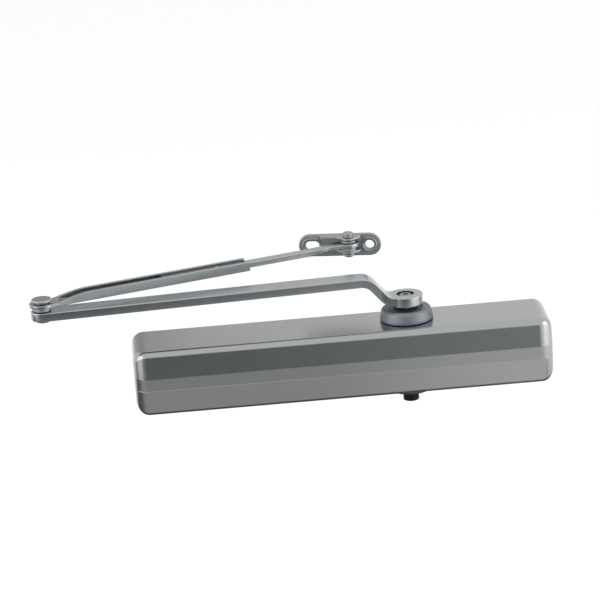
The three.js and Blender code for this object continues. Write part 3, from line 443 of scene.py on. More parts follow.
# Per finish: metallic, roughness low and high, how far the tone varies, the grain's scale per
# metre and its depth in metres, the orange peel's scale and its depth.
FINISH_NUMBERS = {
    "cover_paint": (1.0, 0.215, 0.24, 0.03, 5200, 0.000002, 520, 0.00001),
    "arm_paint": (1.0, 0.17, 0.22, 0.05, 4200, 0.000008, 420, 0.000012),
    "shoe_paint": (1.0, 0.42, 0.52, 0.08, 3800, 0.000012, 420, 0.00002),
    "cap_paint": (1.0, 0.42, 0.52, 0.2, 2600, 0.00005, 600, 0.00008),
    "cast_iron": (0.35, 0.55, 0.8, 0.3, 1500, 0.0003, 260, 0.0004),
    "steel": (1.0, 0.2, 0.32, 0.1, 3600, 0.00001, 500, 0.00002),
    "dull_steel": (1.0, 0.4, 0.5, 0.12, 3600, 0.00001, 500, 0.00002),
    "spring_steel": (0.9, 0.3, 0.5, 0.25, 3000, 0.00005, 420, 0.00006),
    "brass": (1.0, 0.2, 0.34, 0.12, 3600, 0.00001, 500, 0.00002),
    "rubber": (0.0, 0.62, 0.85, 0.3, 2600, 0.00008, 380, 0.0001),
    "black_plastic": (0.0, 0.42, 0.55, 0.25, 3800, 0.00003, 620, 0.00004),
}

# Scales per metre of the slow clouds, the smudges, the tool marks and the casting's pits.
CLOUDS, SMUDGES, TOOL_MARKS = 34, 90, 700
PITS = {"cap_paint": 900, "cast_iron": 520}
TURNED_FINISHES = ("steel", "brass", "spring_steel")


def noise_node(nodes, links, place, scale, detail, roughness=0.6):
    """A noise over the piece, as a node."""
    node = nodes.new("ShaderNodeTexNoise")
    node.inputs["Scale"].default_value = scale
    node.inputs["Detail"].default_value = detail
    node.inputs["Roughness"].default_value = roughness
    links.new(place, node.inputs["Vector"])
    return node


def bump_node(nodes, links, height, distance, strength, before=None):
    """A bump from a height, on top of the bump before it."""
    node = nodes.new("ShaderNodeBump")
    node.inputs["Distance"].default_value = distance
    node.inputs["Strength"].default_value = strength
    links.new(height, node.inputs["Height"])
    if before:
        links.new(before.outputs["Normal"], node.inputs["Normal"])
    return node


def material(finish):
    """The procedural material of one finish, made once."""
    name = f"closer_{finish}"
    if name in bpy.data.materials:
        return bpy.data.materials[name]
    metallic, smooth, rough, vary, grain, grain_depth, peel, peel_depth = FINISH_NUMBERS[finish]
    made = bpy.data.materials.new(name)
    made.use_nodes = True
    nodes, links = made.node_tree.nodes, made.node_tree.links
    shader = nodes["Principled BSDF"]
    place = nodes.new("ShaderNodeTexCoord").outputs["Object"]

    fine = noise_node(nodes, links, place, grain, 3.0)
    cloud = noise_node(nodes, links, place, CLOUDS, 4.0)
    lumps = noise_node(nodes, links, place, peel, 1.5, 0.45)

    # flakes and slow clouds shift the tone a little either way
    mixed = nodes.new("ShaderNodeMix")
    mixed.data_type = "FLOAT"
    mixed.inputs["Factor"].default_value = 0.45
    links.new(fine.outputs["Fac"], mixed.inputs["A"])
    links.new(cloud.outputs["Fac"], mixed.inputs["B"])
    ramp = nodes.new("ShaderNodeValToRGB")
    tone = Vector(getattr(settings().finishes, finish))
    ramp.color_ramp.elements[0].position = 0.3
    ramp.color_ramp.elements[0].color = (*(tone * (1 - vary)), 1)
    ramp.color_ramp.elements[1].position = 0.7
    ramp.color_ramp.elements[1].color = (*(tone * (1 + vary)), 1)
    links.new(mixed.outputs["Result"], ramp.inputs["Fac"])
    links.new(ramp.outputs["Color"], shader.inputs["Base Color"])

    # worn and smudged patches change the gloss
    smudges = noise_node(nodes, links, place, SMUDGES, 5.0, 0.7)
    gloss = nodes.new("ShaderNodeMapRange")
    gloss.inputs["From Min"].default_value = 0.3
    gloss.inputs["From Max"].default_value = 0.7
    gloss.inputs["To Min"].default_value = smooth
    gloss.inputs["To Max"].default_value = rough
    links.new(smudges.outputs["Fac"], gloss.inputs["Value"])
    links.new(gloss.outputs["Result"], shader.inputs["Roughness"])

    peel_bump = bump_node(nodes, links, lumps.outputs["Fac"], peel_depth, 0.6)
    last = bump_node(nodes, links, fine.outputs["Fac"], grain_depth, 0.6, peel_bump)
    if finish in TURNED_FINISHES:
        # fine tool marks round the turned faces
        squeeze = nodes.new("ShaderNodeMapping")
        squeeze.inputs["Scale"].default_value = (1, 1, 14)
        links.new(place, squeeze.inputs["Vector"])
        marks = noise_node(nodes, links, squeeze.outputs["Vector"], TOOL_MARKS, 3.0)
        last = bump_node(nodes, links, marks.outputs["Fac"], 0.00002, 0.5, last)
    if finish in PITS:
        # shallow pits of the sand casting, filled with paint
        pits = nodes.new("ShaderNodeTexVoronoi")
        pits.inputs["Scale"].default_value = PITS[finish]
        links.new(place, pits.inputs["Vector"])
        last = bump_node(nodes, links, pits.outputs["Distance"], 0.00012, 0.4, last)
    links.new(last.outputs["Normal"], shader.inputs["Normal"])

    shader.inputs["Metallic"].default_value = metallic
    if not metallic:
        shader.inputs["Specular IOR Level"].default_value = 0.2
    return made


# ---- cover -------------------------------------------------------------------
def cover_section(x, sizes, inset, grooved):
    """The cover's section at one place along it, from the top's back to the bottom's back."""
    half_length = COVER_HIGH.x - inset
    end, front_round = mm(sizes.end_radius) - inset, mm(sizes.front_radius) - inset
    past_end = max(0.0, abs(x) - (half_length - end))
    past_front = max(0.0, abs(x) - (half_length - front_round))
    drop = end - math.sqrt(max(0.0, end * end - past_end * past_end))
    draw = front_round - math.sqrt(max(0.0, front_round**2 - past_front**2))
    half = COVER_HIGH.z - inset - drop
    front = COVER_LOW.y + inset + draw
    edge = max(mm(sizes.edge_radius) - inset, 1.2)
    toe = max(mm(sizes.foot_radius) - inset, 1.0)
    brow, foot = front + mm(sizes.brow_lean), front + mm(sizes.foot_lean)
    high, low = mm(sizes.crease_high), mm(sizes.crease_low)
    chin = front + mm(sizes.chin_lean)
    brow_tilt = math.degrees(math.atan2(brow - front, half - edge - high))
    foot_tilt = math.degrees(math.atan2(foot - chin, half - toe + low))
    width = mm(sizes.groove_width) / 2 if grooved else 0.2
    depth = mm(sizes.groove_depth) if grooved else 0.0
    waist = -10.0
    section = [(0.0, half), (waist, half), (brow + edge + 3 * width, half)]
    section += [(brow + edge + 2 * width, half - depth), (brow + edge + width, half)]
    section += arc(brow + edge, half - edge, edge, 90, 180 - brow_tilt, 10)
    section += [(front + 0.02, high + 0.25), (front, high), (front + 0.01, high - 0.2)]
    section += [(chin - 0.01, low + width), (chin + depth, low)]
    section += [(chin + (foot - chin) * 0.05, low - width)]
    section += arc(foot + toe, toe - half, toe, 180 + foot_tilt, 270, 10)
    section += [(waist, -half), (0.0, -half)]
    return [(x, y, z) for y, z in section]


def cover_stations(half_length, reach, steps=14):
    """Places along the cover, close together round its ends."""
    ends = []
    for k in range(steps + 1):
        ends.append(half_length - reach + reach * math.sin(math.pi / 2 * k / steps))
    middle_part = [-110, -70, -30, 0, 30, 70, 110]
    return [-x for x in reversed(ends)] + middle_part + ends


def cover_skin(bm, sizes, inset, grooved):
    """One side of the shell, with its two end faces. Returns the sections."""
    reach = mm(sizes.front_radius) - inset
    stations = cover_stations(COVER_HIGH.x - inset, reach)
    rows = []
    for x in stations:
        rows.append([bm.verts.new(p) for p in cover_section(x, sizes, inset, grooved)])
    for row, following in zip(rows, rows[1:]):
        for i in range(len(row) - 1):
            bm.faces.new((row[i], row[i + 1], following[i + 1], following[i]))
    bm.faces.new(rows[0])
    bm.faces.new(rows[-1][::-1])
    return rows


class BuildCover(bpy.types.Operator):
    """Builds the painted cover with its creases, rounded ends and open back"""

    bl_idname = "door_closer.cover"
    bl_label = "Cover"

    def execute(self, context):
        sizes = settings().cover
        bm = bmesh.new()
        outer = cover_skin(bm, sizes, 0.0, True)
        inner = cover_skin(bm, sizes, mm(sizes.wall), False)
        for i in (0, -1):
            for k in range(len(outer) - 1):
                bm.faces.new((outer[k][i], outer[k + 1][i], inner[k + 1][i], inner[k][i]))
            bm.faces.new((outer[i][0], outer[i][-1], inner[i][-1], inner[i][0]))
        bmesh.ops.recalc_face_normals(bm, faces=bm.faces)
        cover = blank(bm)
        notch, behind, clear = mm(sizes.notch_radius), 8, 40
        outline = arc(SPINDLE.x, SPINDLE.y, notch, 180, 360, 48)
        outline += [(SPINDLE.x + notch, behind), (SPINDLE.x - notch, behind)]
        combine(cover, prism(outline, -clear, clear))
        for side in ("left", "right"):
            screw = middle(f"{side}_cover_screw")
            hole = circle(screw.x, screw.y, mm(sizes.screw_hole), 16)
            combine(cover, prism(hole, -clear, -clear / 2))
        tidy(cover)
        finished(cover, "cover_shell", "closer_body", ["cover"], "cover_paint", sharp=12)
        return {"FINISHED"}


# ---- caps round the spindle --------------------------------------------------
class BuildCaps(bpy.types.Operator):
    """Builds the tapered cap over the spindle and the flat cap under it"""

    bl_idname = "door_closer.caps"
    bl_label = "Caps"

    def execute(self, context):
        # radii of the hole for the spindle, and of the skirt's inside and outside
        hole, inside, skirt = 8.6, 11.5, 13.8
        foot, top = heights("upper_cap")
        base, rim = top - 9, 19.8
        ceiling, dish = base + 3.2, base + 8.0
        profile = [
            (inside, foot), (skirt, foot), (skirt, base), (rim, base), (rim - 0.05, base + 1.7),
            (18.7, base + 7.0), (17.4, base + 8.9), (12.4, base + 9.0), (11.2, dish),
            (hole, dish), (hole, ceiling), (inside, ceiling),
        ]
        radii = [0.2, 0.3, 0, 0.3, 1.2, 2.6, 2.0, 0.8, 0.5, 0.4, 0, 0]
        cap = blank(turned(rounded(profile, radii), 128))
        finished(cap, "collar", "closer_body", ["upper_cap"], "cap_paint", place=AT_SPINDLE)

        foot, top = heights("lower_cap")
        base, rim = foot + 5.4, 18.0
        ceiling = base - 2.4
        profile = [
            (inside, top), (inside, ceiling), (hole, ceiling), (hole, foot),
            (rim - 2.4, foot), (rim, base - 3.6), (rim, base), (skirt, base), (skirt, top),
        ]
        radii = [0.2, 0, 0, 0.4, 2.4, 2.0, 0.4, 0, 0.3]
        cap = blank(turned(rounded(profile, radii), 96))
        finished(cap, "under_cap", "closer_body", ["lower_cap"], "cap_paint", place=AT_SPINDLE)
        return {"FINISHED"}


# ---- spindle ends ------------------------------------------------------------
class BuildSpindleEnds(bpy.types.Operator):
    """Builds the screw in the spindle's top and the black plug under it"""

    bl_idname = "door_closer.spindle_ends"
    bl_label = "Spindle ends"

    def execute(self, context):
        foot, top = heights("arm_screw")
        thread, head, seat = 2.5, 4.8, top - 1.7
        profile = [
            (0, foot), (thread - 0.4, foot), (thread, foot + 0.5), (thread, seat), (head, seat),
            (head, seat + 0.9), (head - 0.8, top), (0, top),
        ]
        screw = blank(turned(rounded_open(profile, 0.35), 64))
        key, key_depth = 2.31, 1.2
        combine(screw, prism(circle(0, 0, key, 6), top - key_depth, top + 1))
        finished(
            screw, "spindle_screw", "spindle_and_arm", ["arm_screw"], "dull_steel",
            place=AT_SPINDLE,
        )

        foot, flange = heights("spindle_plug")
        stem, face = 4.5, 5.9
        inside = heights("pinion_shaft")[0] - 0.3
        profile = [
            (0, inside), (stem, inside), (stem, flange), (face, flange), (face, foot + 0.4),
            (face - 0.4, foot), (0, foot),
        ]
        plug = blank(turned(rounded_open(profile, 0.4)))
        finished(
            plug, "black_plug", "spindle_and_arm", ["spindle_plug"], "black_plastic",
            place=AT_SPINDLE,
        )
        return {"FINISHED"}


# ---- main arm ----------------------------------------------------------------
CRANK = 50  # slope of the arm's cranked part, in degrees
HUB_OPENING = 52  # half the angle over which the hub runs into the bar, in degrees


def arm_profile(sizes):
    """The arm seen from the side, from beyond the hub to beyond the elbow."""
    half = mm(sizes.thickness) / 2
    hub_top = mm(sizes.hub_top)
    low, high = hub_top - half, ARM_TOP - half
    low_bend, high_bend = mm(sizes.low_bend), mm(sizes.high_bend)
    slope = math.radians(CRANK)
    both = low_bend + high_bend
    start = mm(sizes.hub_radius) - 3.3
    straight = (ARM_TOP - hub_top - both * (1 - math.cos(slope))) / math.tan(slope)
    end = start + both * math.sin(slope) + straight
    far = ARM_LENGTH + mm(sizes.width)
    near = -mm(sizes.hub_radius) - 2
    points = [(near, low + half), (near, low - half)]
    points += arc(start, low + low_bend, low_bend + half, -90, CRANK - 90, 16)
    points += arc(end, high - high_bend, high_bend - half, 90 + CRANK, 90, 16)
    points += [(far, high - half), (far, high + half)]
    points += arc(end, high - high_bend, high_bend + half, 90, 90 + CRANK, 16)
    points += arc(start, low + low_bend, low_bend - half, CRANK - 90, -90, 16)
    return points


def broached_star(outer, inner, splines=12, points=144):
    """The outline of the splined socket."""
    star = []
    for k in range(points):
        angle = 2 * math.pi * k / points
        radius = (outer + inner) / 2 + (outer - inner) / 2 * math.cos(splines * angle)
        star.append((radius * math.cos(angle), radius * math.sin(angle)))
    return star


class BuildMainArm(bpy.types.Operator):
    """Builds the cranked main arm with its broached hub"""

    bl_idname = "door_closer.main_arm"
    bl_label = "Main arm"

    def execute(self, context):
        sizes = settings().arm
        half, hub = mm(sizes.width) / 2, mm(sizes.hub_radius)
        neck, fillet = 17.5, 26.0
        hub_arc = arc(0, 0, hub, HUB_OPENING, 360 - HUB_OPENING, 72)
        tip = arc(ARM_LENGTH, 0, half, -90, 90, 32)
        plan = [(neck, -half)] + tip + [(neck, half)] + hub_arc
        radii = [fillet] + [0] * len(tip) + [fillet] + [0] * len(hub_arc)
        arm = blank(prism(arm_profile(sizes), -hub - 3, hub + 3, "xz"))
        combine(arm, prism(rounded(plan, radii, 8), UNDER_ARM, OVER_ARMS), "INTERSECT")
        foot = mm(sizes.hub_top) - mm(sizes.thickness) - mm(sizes.boss)
        boss = hub_arc + arc(0, 0, hub, 360 - HUB_OPENING, 360 + HUB_OPENING, 29)[1:-1]
        combine(arm, prism(boss, foot, foot + 3), "UNION")
        tidy(arm)
        soften(arm, mm(sizes.edge))
        star = broached_star(mm(sizes.socket_outer), mm(sizes.socket_inner))
        hole = circle(ARM_LENGTH, 0, mm(sizes.stud_hole), 36)
        for outline in (star, hole):
            combine(arm, prism(outline, UNDER_ARM, OVER_ARMS))
        tidy(arm)
        finished(
            arm, "cranked_arm", "spindle_and_arm", ["main_arm"], "arm_paint", ARM_TURN,
            AT_SPINDLE,
        )
        return {"FINISHED"}


# ---- elbow -------------------------------------------------------------------
class BuildElbow(bpy.types.Operator):
    """Builds the elbow's stud, spacer and washer"""

    bl_idname = "door_closer.elbow"
    bl_label = "Elbow"

    def execute(self, context):
        foot, top = heights("elbow_stud")
        shank, rivet, cap = 3.4, 5.6, 7.8
        seat, head = foot + 1.6, top - 1.9
        profile = [
            (0, foot), (rivet - 0.7, foot), (rivet, foot + 0.6), (rivet, seat), (shank, seat),
            (shank, head), (cap - 0.1, head), (cap, head + 0.9), (cap - 0.8, top - 0.25),
            (0, top),
        ]
        stud = blank(turned(rounded_open(profile, 0.45), 96))
        finished(
            stud, "elbow_rivet", "spindle_and_arm", ["elbow_stud"], "arm_paint", place=AT_ELBOW
        )
        hole = 3.7
        for name, node, body, outer in (
            ("elbow_collar", "elbow_spacer", "spindle_and_arm", 6.6),
            ("elbow_ring", "elbow_washer", "forearm", 5.6),
        ):
            low, high = heights(node)
            profile = [(hole, low), (outer, low), (outer, high), (hole, high)]
            ring = blank(turned(rounded(profile, [0.1, 0.3, 0.3, 0.1], 4)))
            finished(ring, name, body, [node], "shoe_paint", place=AT_ELBOW)
        return {"FINISHED"}


# ---- forearm -----------------------------------------------------------------
class BuildForearm(bpy.types.Operator):
    """Builds the folded channel, the rod that slides in it and the clamp screw"""

    bl_idname = "door_closer.forearm"
    bl_label = "Forearm"

    def execute(self, context):
        sizes = settings().forearm
        self.build_channel(sizes)
        self.build_rod(sizes)
        self.build_clamp(sizes)
        return {"FINISHED"}

    def build_channel(self, sizes):
        half, far = mm(sizes.channel_width) / 2, mm(sizes.channel_length)
        lug, inner = mm(sizes.lug_radius), half - mm(sizes.wall)
        lug_top = CHANNEL_BOTTOM + mm(sizes.lug_thickness)
        floor = CHANNEL_BOTTOM + mm(sizes.floor)
        # where the walls reach their full height, where they start and where the scoop starts
        full, start, scooped = (38, CHANNEL_TOP), 10.3, 9.5
        near = -lug - 2
        side = [(near, CHANNEL_BOTTOM), (far, CHANNEL_BOTTOM), (far, CHANNEL_TOP), full]
        slope = curve(
            full, (26, CHANNEL_TOP - 0.1), (17, lug_top + 1.4), (scooped, lug_top - 0.4), 28
        )
        side += [(x, z) for x, z in slope if z > lug_top + 0.03]
        side += [(start, lug_top), (near, lug_top)]
        neck, fillet, opening = 22, 30.0, 62
        lug_arc = arc(0, 0, lug, opening, 360 - opening, 56)
        plan = [(far, -half), (far, half), (neck, half)] + lug_arc + [(neck, -half)]
        radii = [0, 0, fillet] + [0] * len(lug_arc) + [fillet]
        channel = blank(prism(side, -lug - 3, lug + 3, "xz"))
        combine(
            channel, prism(rounded(plan, radii, 8), UNDER_FOREARM, OVER_ARMS), "INTERSECT"
        )
        scoop = [(scooped, lug_top + 0.3)]
        scoop += curve(scoop[0], (14, lug_top - 0.2), (15, floor), (26, floor), 12)
        scoop += [(far + 2, floor), (far + 2, OVER_ARMS), (scooped, OVER_ARMS)]
        combine(channel, prism(scoop, -inner, inner, "xz"))
        soften(channel, 0.42)
        bush = 4.9
        hole = [(0, UNDER_FOREARM), (bush, UNDER_FOREARM), (bush, OVER_ARMS), (0, OVER_ARMS)]
        combine(channel, turned(hole, 48))
        combine(channel, prism(circle(CLAMP_REACH, CLAMP.z, 2.3, 24), 0.5, half + 2, "xz"))
        tidy(channel)
        finished(
            channel, "channel", "forearm", ["forearm_channel"], "arm_paint", FOREARM_TURN,
            AT_ELBOW,
        )

    def build_rod(self, sizes):
        half, start = mm(sizes.rod_width) / 2, mm(sizes.rod_start)
        eye, far = mm(sizes.eye_radius), FOREARM_LENGTH
        neck, fillet, opening = far - 17, 20.0, 54
        eye_arc = arc(far, 0, eye, 180 + opening, 540 - opening, 56)
        plan = [(start, -half), (neck, -half)] + eye_arc + [(neck, half), (start, half)]
        radii = [0, fillet] + [0] * len(eye_arc) + [fillet, 0]
        top = ROD_BOTTOM + mm(sizes.rod_thickness)
        shank_top = ROD_BOTTOM + mm(sizes.shank_thickness)
        eye_low = EYE_TOP - mm(sizes.eye_thickness)
        # the rod rises between these two places, with this easing at each end
        bend, level, ease = far - 34, far - 12, 10
        end, past = mm(sizes.channel_length) - 1, far + eye + 2
        side = [(start, ROD_BOTTOM), (bend, ROD_BOTTOM)]
        side += curve(
            (bend, ROD_BOTTOM), (bend + ease, ROD_BOTTOM), (level - ease, eye_low),
            (level, eye_low), 12,
        )
        side += [(past, eye_low), (past, EYE_TOP), (level, EYE_TOP)]
        side += curve(
            (level, EYE_TOP), (level - ease, EYE_TOP), (bend + ease, top), (bend, top), 12
        )
        side += [(end, top), (end, shank_top), (start, shank_top)]
        rod = blank(prism(side, -eye - 2, eye + 2, "xz"))
        combine(rod, prism(rounded(plan, radii, 8), UNDER_FOREARM, OVER_ARMS), "INTERSECT")
        soften(rod, 0.55)
        combine(rod, prism(circle(far, 0, mm(sizes.eye_hole), 36), UNDER_FOREARM, OVER_ARMS))
        tidy(rod)
        finished(
            rod, "sliding_rod", "telescoping_rod", ["forearm_rod"], "arm_paint", FOREARM_TURN,
            AT_ELBOW,
        )

    def build_clamp(self, sizes):
        shoulder = mm(sizes.channel_width) / 2 + 0.3
        tip = mm(sizes.rod_width) / 2 + 0.15
        thread, head, crown = 2, 2.8, shoulder + 2
        profile = [
            (0, tip), (thread - 0.3, tip), (thread, tip + 0.3), (thread, shoulder),
            (head, shoulder), (head, crown - 0.6), (head - 0.6, crown), (0, crown),
        ]
        screw = blank(turned(rounded_open(profile, 0.2), 48))
        combine(screw, prism(circle(0, 0, 1.5, 6), crown - 1.2, crown + 1))
        screw.data.transform(Matrix.Rotation(-math.pi / 2, 4, "X"))
        foot = ELBOW.xy + ALONG_FOREARM * CLAMP_REACH
        finished(
            screw, "clamp_screw", "clamp", ["forearm_clamp_screw"], "steel", FOREARM_TURN,
            (foot.x, foot.y, CLAMP.z),
        )


# ---- shoe --------------------------------------------------------------------
def raised_rim(x, half, sizes):
    """The raised ring round a hole of the shoe, in the plate's own frame."""
    hole, front = mm(sizes.hole_radius), mm(sizes.front)
    section = [
        (hole, front + 1.2), (hole, front + 0.6), (hole + 1.2, front - 0.8),
        (hole + 2.0, front - 0.95), (hole + 2.4, front - 0.5), (hole + 2.7, front + 1.2),
    ]
    section = rounded(section, [0, 0.6, 0.8, 0.7, 0.6, 0], 5)
    bm = bmesh.new()
    step, count = 7.5, 24
    if half == 0:
        angles = [(step * k, 0) for k in range(2 * count)]
    else:
        angles = [(-90 + step * k, half) for k in range(count + 1)]
        angles += [(90 + step * k, -half) for k in range(count + 1)]
    rings = []
    for angle, shift in angles:
        turn = math.radians(angle)
        ring = []
        for radius, y in section:
            place = (x + shift + radius * math.cos(turn), y, radius * math.sin(turn))
            ring.append(bm.verts.new(place))
        rings.append(ring)
    for ring, following in zip(rings, rings[1:] + rings[:1]):
        for k in range(len(ring)):
            j = (k + 1) % len(ring)
            bm.faces.new((ring[k], ring[j], following[j], following[k]))
    return closed(lowered(bm, mm(sizes.drop)))


class BuildShoe(bpy.types.Operator):
    """Builds the forked shoe, its pin and the two washers in the fork"""

    bl_idname = "door_closer.shoe"
    bl_label = "Shoe"

    def execute(self, context):
        sizes = settings().shoe
        front, back = mm(sizes.front), mm(sizes.front) + mm(sizes.thickness)
        drop, radius = mm(sizes.drop), mm(sizes.half_height)
        slot_half, hole = mm(sizes.slot_half), mm(sizes.hole_radius)
        slot_at, hole_at = mm(sizes.slot_at), mm(sizes.hole_at)
        left, right = mm(sizes.ear_left), mm(sizes.ear_right)
        shelf, nose = mm(sizes.ear_shelf), mm(sizes.ear_nose)
        outline = arc(hole_at, 0, radius, -90, 90, 40)
        outline += arc(slot_at - slot_half, 0, radius, 90, 270, 40)
        shoe = soften(blank(lowered(prism(outline, front, back, "xz"), drop)), 0.7)
        overlap, nose_start, nose_end = 1, 186, 340
        nose_arc = arc(0, 0, nose, nose_start, nose_end, 26)
        ear = [(right, front + overlap), (left, front + overlap), (left + 4, shelf)]
        ear += [(-nose - 3.4, shelf - 0.3)] + nose_arc + [(right, shelf)]
        radii = [0, 0, 2.4, 4.0, 0.8] + [0] * (len(nose_arc) - 2) + [0.8, 1.6]
        thick = mm(sizes.ear_thickness)
        upper, lower = mm(sizes.upper_gap), -mm(sizes.lower_gap)
        for low in (upper, lower - thick):
            flange = blank(prism(rounded(ear, radii, 6), low, low + thick))
            combine(shoe, soften(flange, 0.4), "UNION")
        combine(shoe, raised_rim(hole_at, 0, sizes), "UNION")
        combine(shoe, raised_rim(slot_at, slot_half, sizes), "UNION")
        # the cutting solids run from before the plate to behind it, and past both ears
        before, behind, clear = 5, 16, 20
        for opening in (circle(hole_at, 0, hole, 36), stadium(slot_at, slot_half, hole, 24)):
            combine(shoe, lowered(prism(opening, before, behind, "xz"), drop))
        combine(shoe, prism(circle(0, 0, 3.3, 36), -clear, clear))
        tidy(shoe)
        finished(shoe, "forked_shoe", "shoe_set", ["shoe"], "shoe_paint", sizes.turn, PIN)

        low, high = heights("shoe_pin")
        half = (high - low) / 2
        gap, shank, journal, head = 0.3, 3, 3.6, 4.2
        seat, low_seat, head_seat = upper + thick + gap, lower - thick - gap, half - 1.9
        profile = [
            (0, -half), (head - 1.3, 0.15 - half), (head, 1.0 - half), (head, low_seat),
            (shank, low_seat), (shank, seat), (journal, seat), (journal, head_seat),
            (head, head_seat), (head, half - 1.0), (head - 1.3, half - 0.15), (0, half),
        ]
        pin = blank(turned(rounded_open(profile, 0.3)))
        finished(pin, "fork_pin", "shoe_set", ["shoe_pin"], "shoe_paint", sizes.turn, PIN)
        inner, outer = 3.3, 5.8
        for name, node in (
            ("fork_upper_washer", "shoe_upper_washer"), ("fork_lower_washer", "shoe_lower_washer"),
        ):
            low, high = (z - PIN.z for z in heights(node))
            profile = [(inner, low), (outer, low), (outer, high), (inner, high)]
            ring = blank(turned(rounded(profile, [0.1, 0.35, 0.35, 0.1], 4)))
            finished(ring, name, "shoe_set", [node], "shoe_paint", sizes.turn, PIN)
        return {"FINISHED"}


# ---- cover screws ------------------------------------------------------------
class BuildCoverScrews(bpy.types.Operator):
    """Builds the two slotted screws under the cover"""

    bl_idname = "door_closer.cover_screws"
    bl_label = "Cover screws"

    def execute(self, context):
        thread, head, head_height = 2.5, 4.4, 1.7
        slot_half, slot_depth = 0.5, 0.8
        for side in ("left", "right"):
            node = f"{side}_cover_screw"
            centre = middle(node)
            low, high = heights(node)
            seat = low + head_height
            profile = [
                (0, low), (head - 1.5, low + 0.1), (head, low + 1.0), (head, seat),
                (thread, seat), (thread, high - 0.6), (thread - 0.6, high), (0, high),
            ]
            screw = blank(turned(rounded_open(profile, 0.3), 64))
            slot = block((-6, 6), (-slot_half, slot_half), (low - 1, low + slot_depth))
            combine(screw, slot)
            finished(
                screw, f"{side}_slotted_screw", "closer_body", [node], "steel",
                place=(centre.x, centre.y, 0),
            )
        return {"FINISHED"}


# ---- springs -----------------------------------------------------------------
def coil_point(sizes, wire, low, high, share):
    """Where the wire's middle is, as an angle and an X, a share of the way along the spring."""
    turns = sizes.turns
    closed_turns = 0.9
    first, last = low + wire, high - wire
    pitch_shut = 2.04 * wire
    shut = pitch_shut * closed_turns
    turned_so_far = turns * share
    angle = 2 * math.pi * turned_so_far
    if turned_so_far < closed_turns:
        return angle, first + shut * turned_so_far / closed_turns
    if turned_so_far > turns - closed_turns:
        return angle, last - shut * (turns - turned_so_far) / closed_turns
    open_share = (turned_so_far - closed_turns) / (turns - 2 * closed_turns)
    return angle, first + shut + (last - first - 2 * shut) * open_share


def coil(sizes, wire, radius, low, high, start, end, sides=12):
    """Part of a coil spring along X, between two shares of its length."""
    bm = bmesh.new()
    steps = 18 * sizes.turns
    rings = []
    for k in range(steps + 1):
        share = start + (end - start) * k / steps
        angle, x = coil_point(sizes, wire, low, high, share)
        outward = Vector((0, math.cos(angle), math.sin(angle)))
        middle_of_wire = Vector((x, 0, 0)) + outward * radius
        ring = []
        for j in range(sides):
            around = 2 * math.pi * j / sides
            place = middle_of_wire + outward * (wire * math.cos(around))
            ring.append(bm.verts.new(place + Vector((wire * math.sin(around), 0, 0))))
        rings.append(ring)
    for ring, following in zip(rings, rings[1:]):
        for j in range(sides):
            n = (j + 1) % sides
            bm.faces.new((ring[j], ring[n], following[n], following[j]))
    bm.faces.new(rings[0][::-1])
    bm.faces.new(rings[-1])
    return closed(bm)


class BuildSprings(bpy.types.Operator):
    """Builds the two closing springs, each in two halves that meet in its middle"""

    bl_idname = "door_closer.springs"
    bl_label = "Springs"

    def execute(self, context):
        sizes = settings().springs
        for node, wire in (
            ("outer_spring", mm(sizes.outer_wire)), ("inner_spring", mm(sizes.inner_wire)),
        ):
            low, high = corners(node)
            centre = (low + high) / 2
            radius = (high.z - low.z) / 2 - wire
            for name, start, end, joint in (
                (f"{node}_seat_half", 0, 0.5, "spring_seat_slide"),
                (f"{node}_piston_half", 0.5, 1, "piston_slide"),
            ):
                half = blank(coil(sizes, wire, radius, low.x, high.x, start, end))
                finished(
                    half, name, "closer_body", [node], "spring_steel",
                    place=(0, centre.y, centre.z),
                )
                half.modifiers.clear()
                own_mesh(half)
        return {"FINISHED"}


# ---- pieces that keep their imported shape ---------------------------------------
INNER_FINISHES = {
    "cast_iron": ["housing"],
    "steel": [
        "upper_bearing", "lower_bearing", "left_end_plug", "right_end_plug",
        "left_cover_bracket", "right_cover_bracket", "piston", "check_ball", "spring_seat",
        "spring_adjusting_screw",
    ],
    "spring_steel": ["pinion_shaft"],
    "brass": [
        "backcheck_valve", "latch_valve", "sweep_valve", "check_ball_retainer", "elbow_bush",
    ],
    "rubber": [
        "upper_shaft_seal", "lower_shaft_seal", "left_plug_oring", "right_plug_oring",
        "backcheck_valve_oring", "latch_valve_oring", "sweep_valve_oring",
        "piston_spring_side_seal", "piston_end_side_seal",
    ],
}


class FinishInnerPieces(bpy.types.Operator):
    """Gives the pieces inside the closer their finishes"""

    bl_idname = "door_closer.inner_pieces"
    bl_label = "Inner pieces"

    def execute(self, context):
        for finish, names in INNER_FINISHES.items():
            for name in names:
                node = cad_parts[name]
                node.data.materials.clear()
                node.data.materials.append(material(finish))
                node.data.shade_smooth()
                node.data.set_sharp_from_angle(angle=math.radians(32))
        return {"FINISHED"}


# ---- stage -------------------------------------------------------------------
# Glowing cards, seen only in the gloss, paint reflections on the cover: the dark bands across its
# front, brighter to the right, and shade on its top's left end. Each step along one is its place,
# its glow and its coolness.
FRONT_REFLECTION_STEPS = (
    (-2.5, 0.12, 0.08), (-0.95, 0.13, 0.08), (-0.88, 0.36, 0.02), (-0.70, 0.43, 0.0),
    (-0.50, 0.51, -0.01), (-0.32, 0.40, 0.0), (-0.22, 0.12, 0.0), (0.35, 0.10, 0.0),
)
BACK_REFLECTION_STEPS = (
    (-0.9, 0.43, 0.0), (-0.16, 0.46, 0.0), (-0.07, 0.76, 0.0), (0.04, 0.72, 0.0),
    (0.12, 0.84, 0.0), (0.8, 0.92, 0.0),
)
# Per card: from X, to X, and the strength at each.
FRONT_REFLECTION_SIDES = (0.02, 0.17, 1.1, 1.8)
BACK_REFLECTION_SIDES = (-1, 1, 1.0, 1.0)

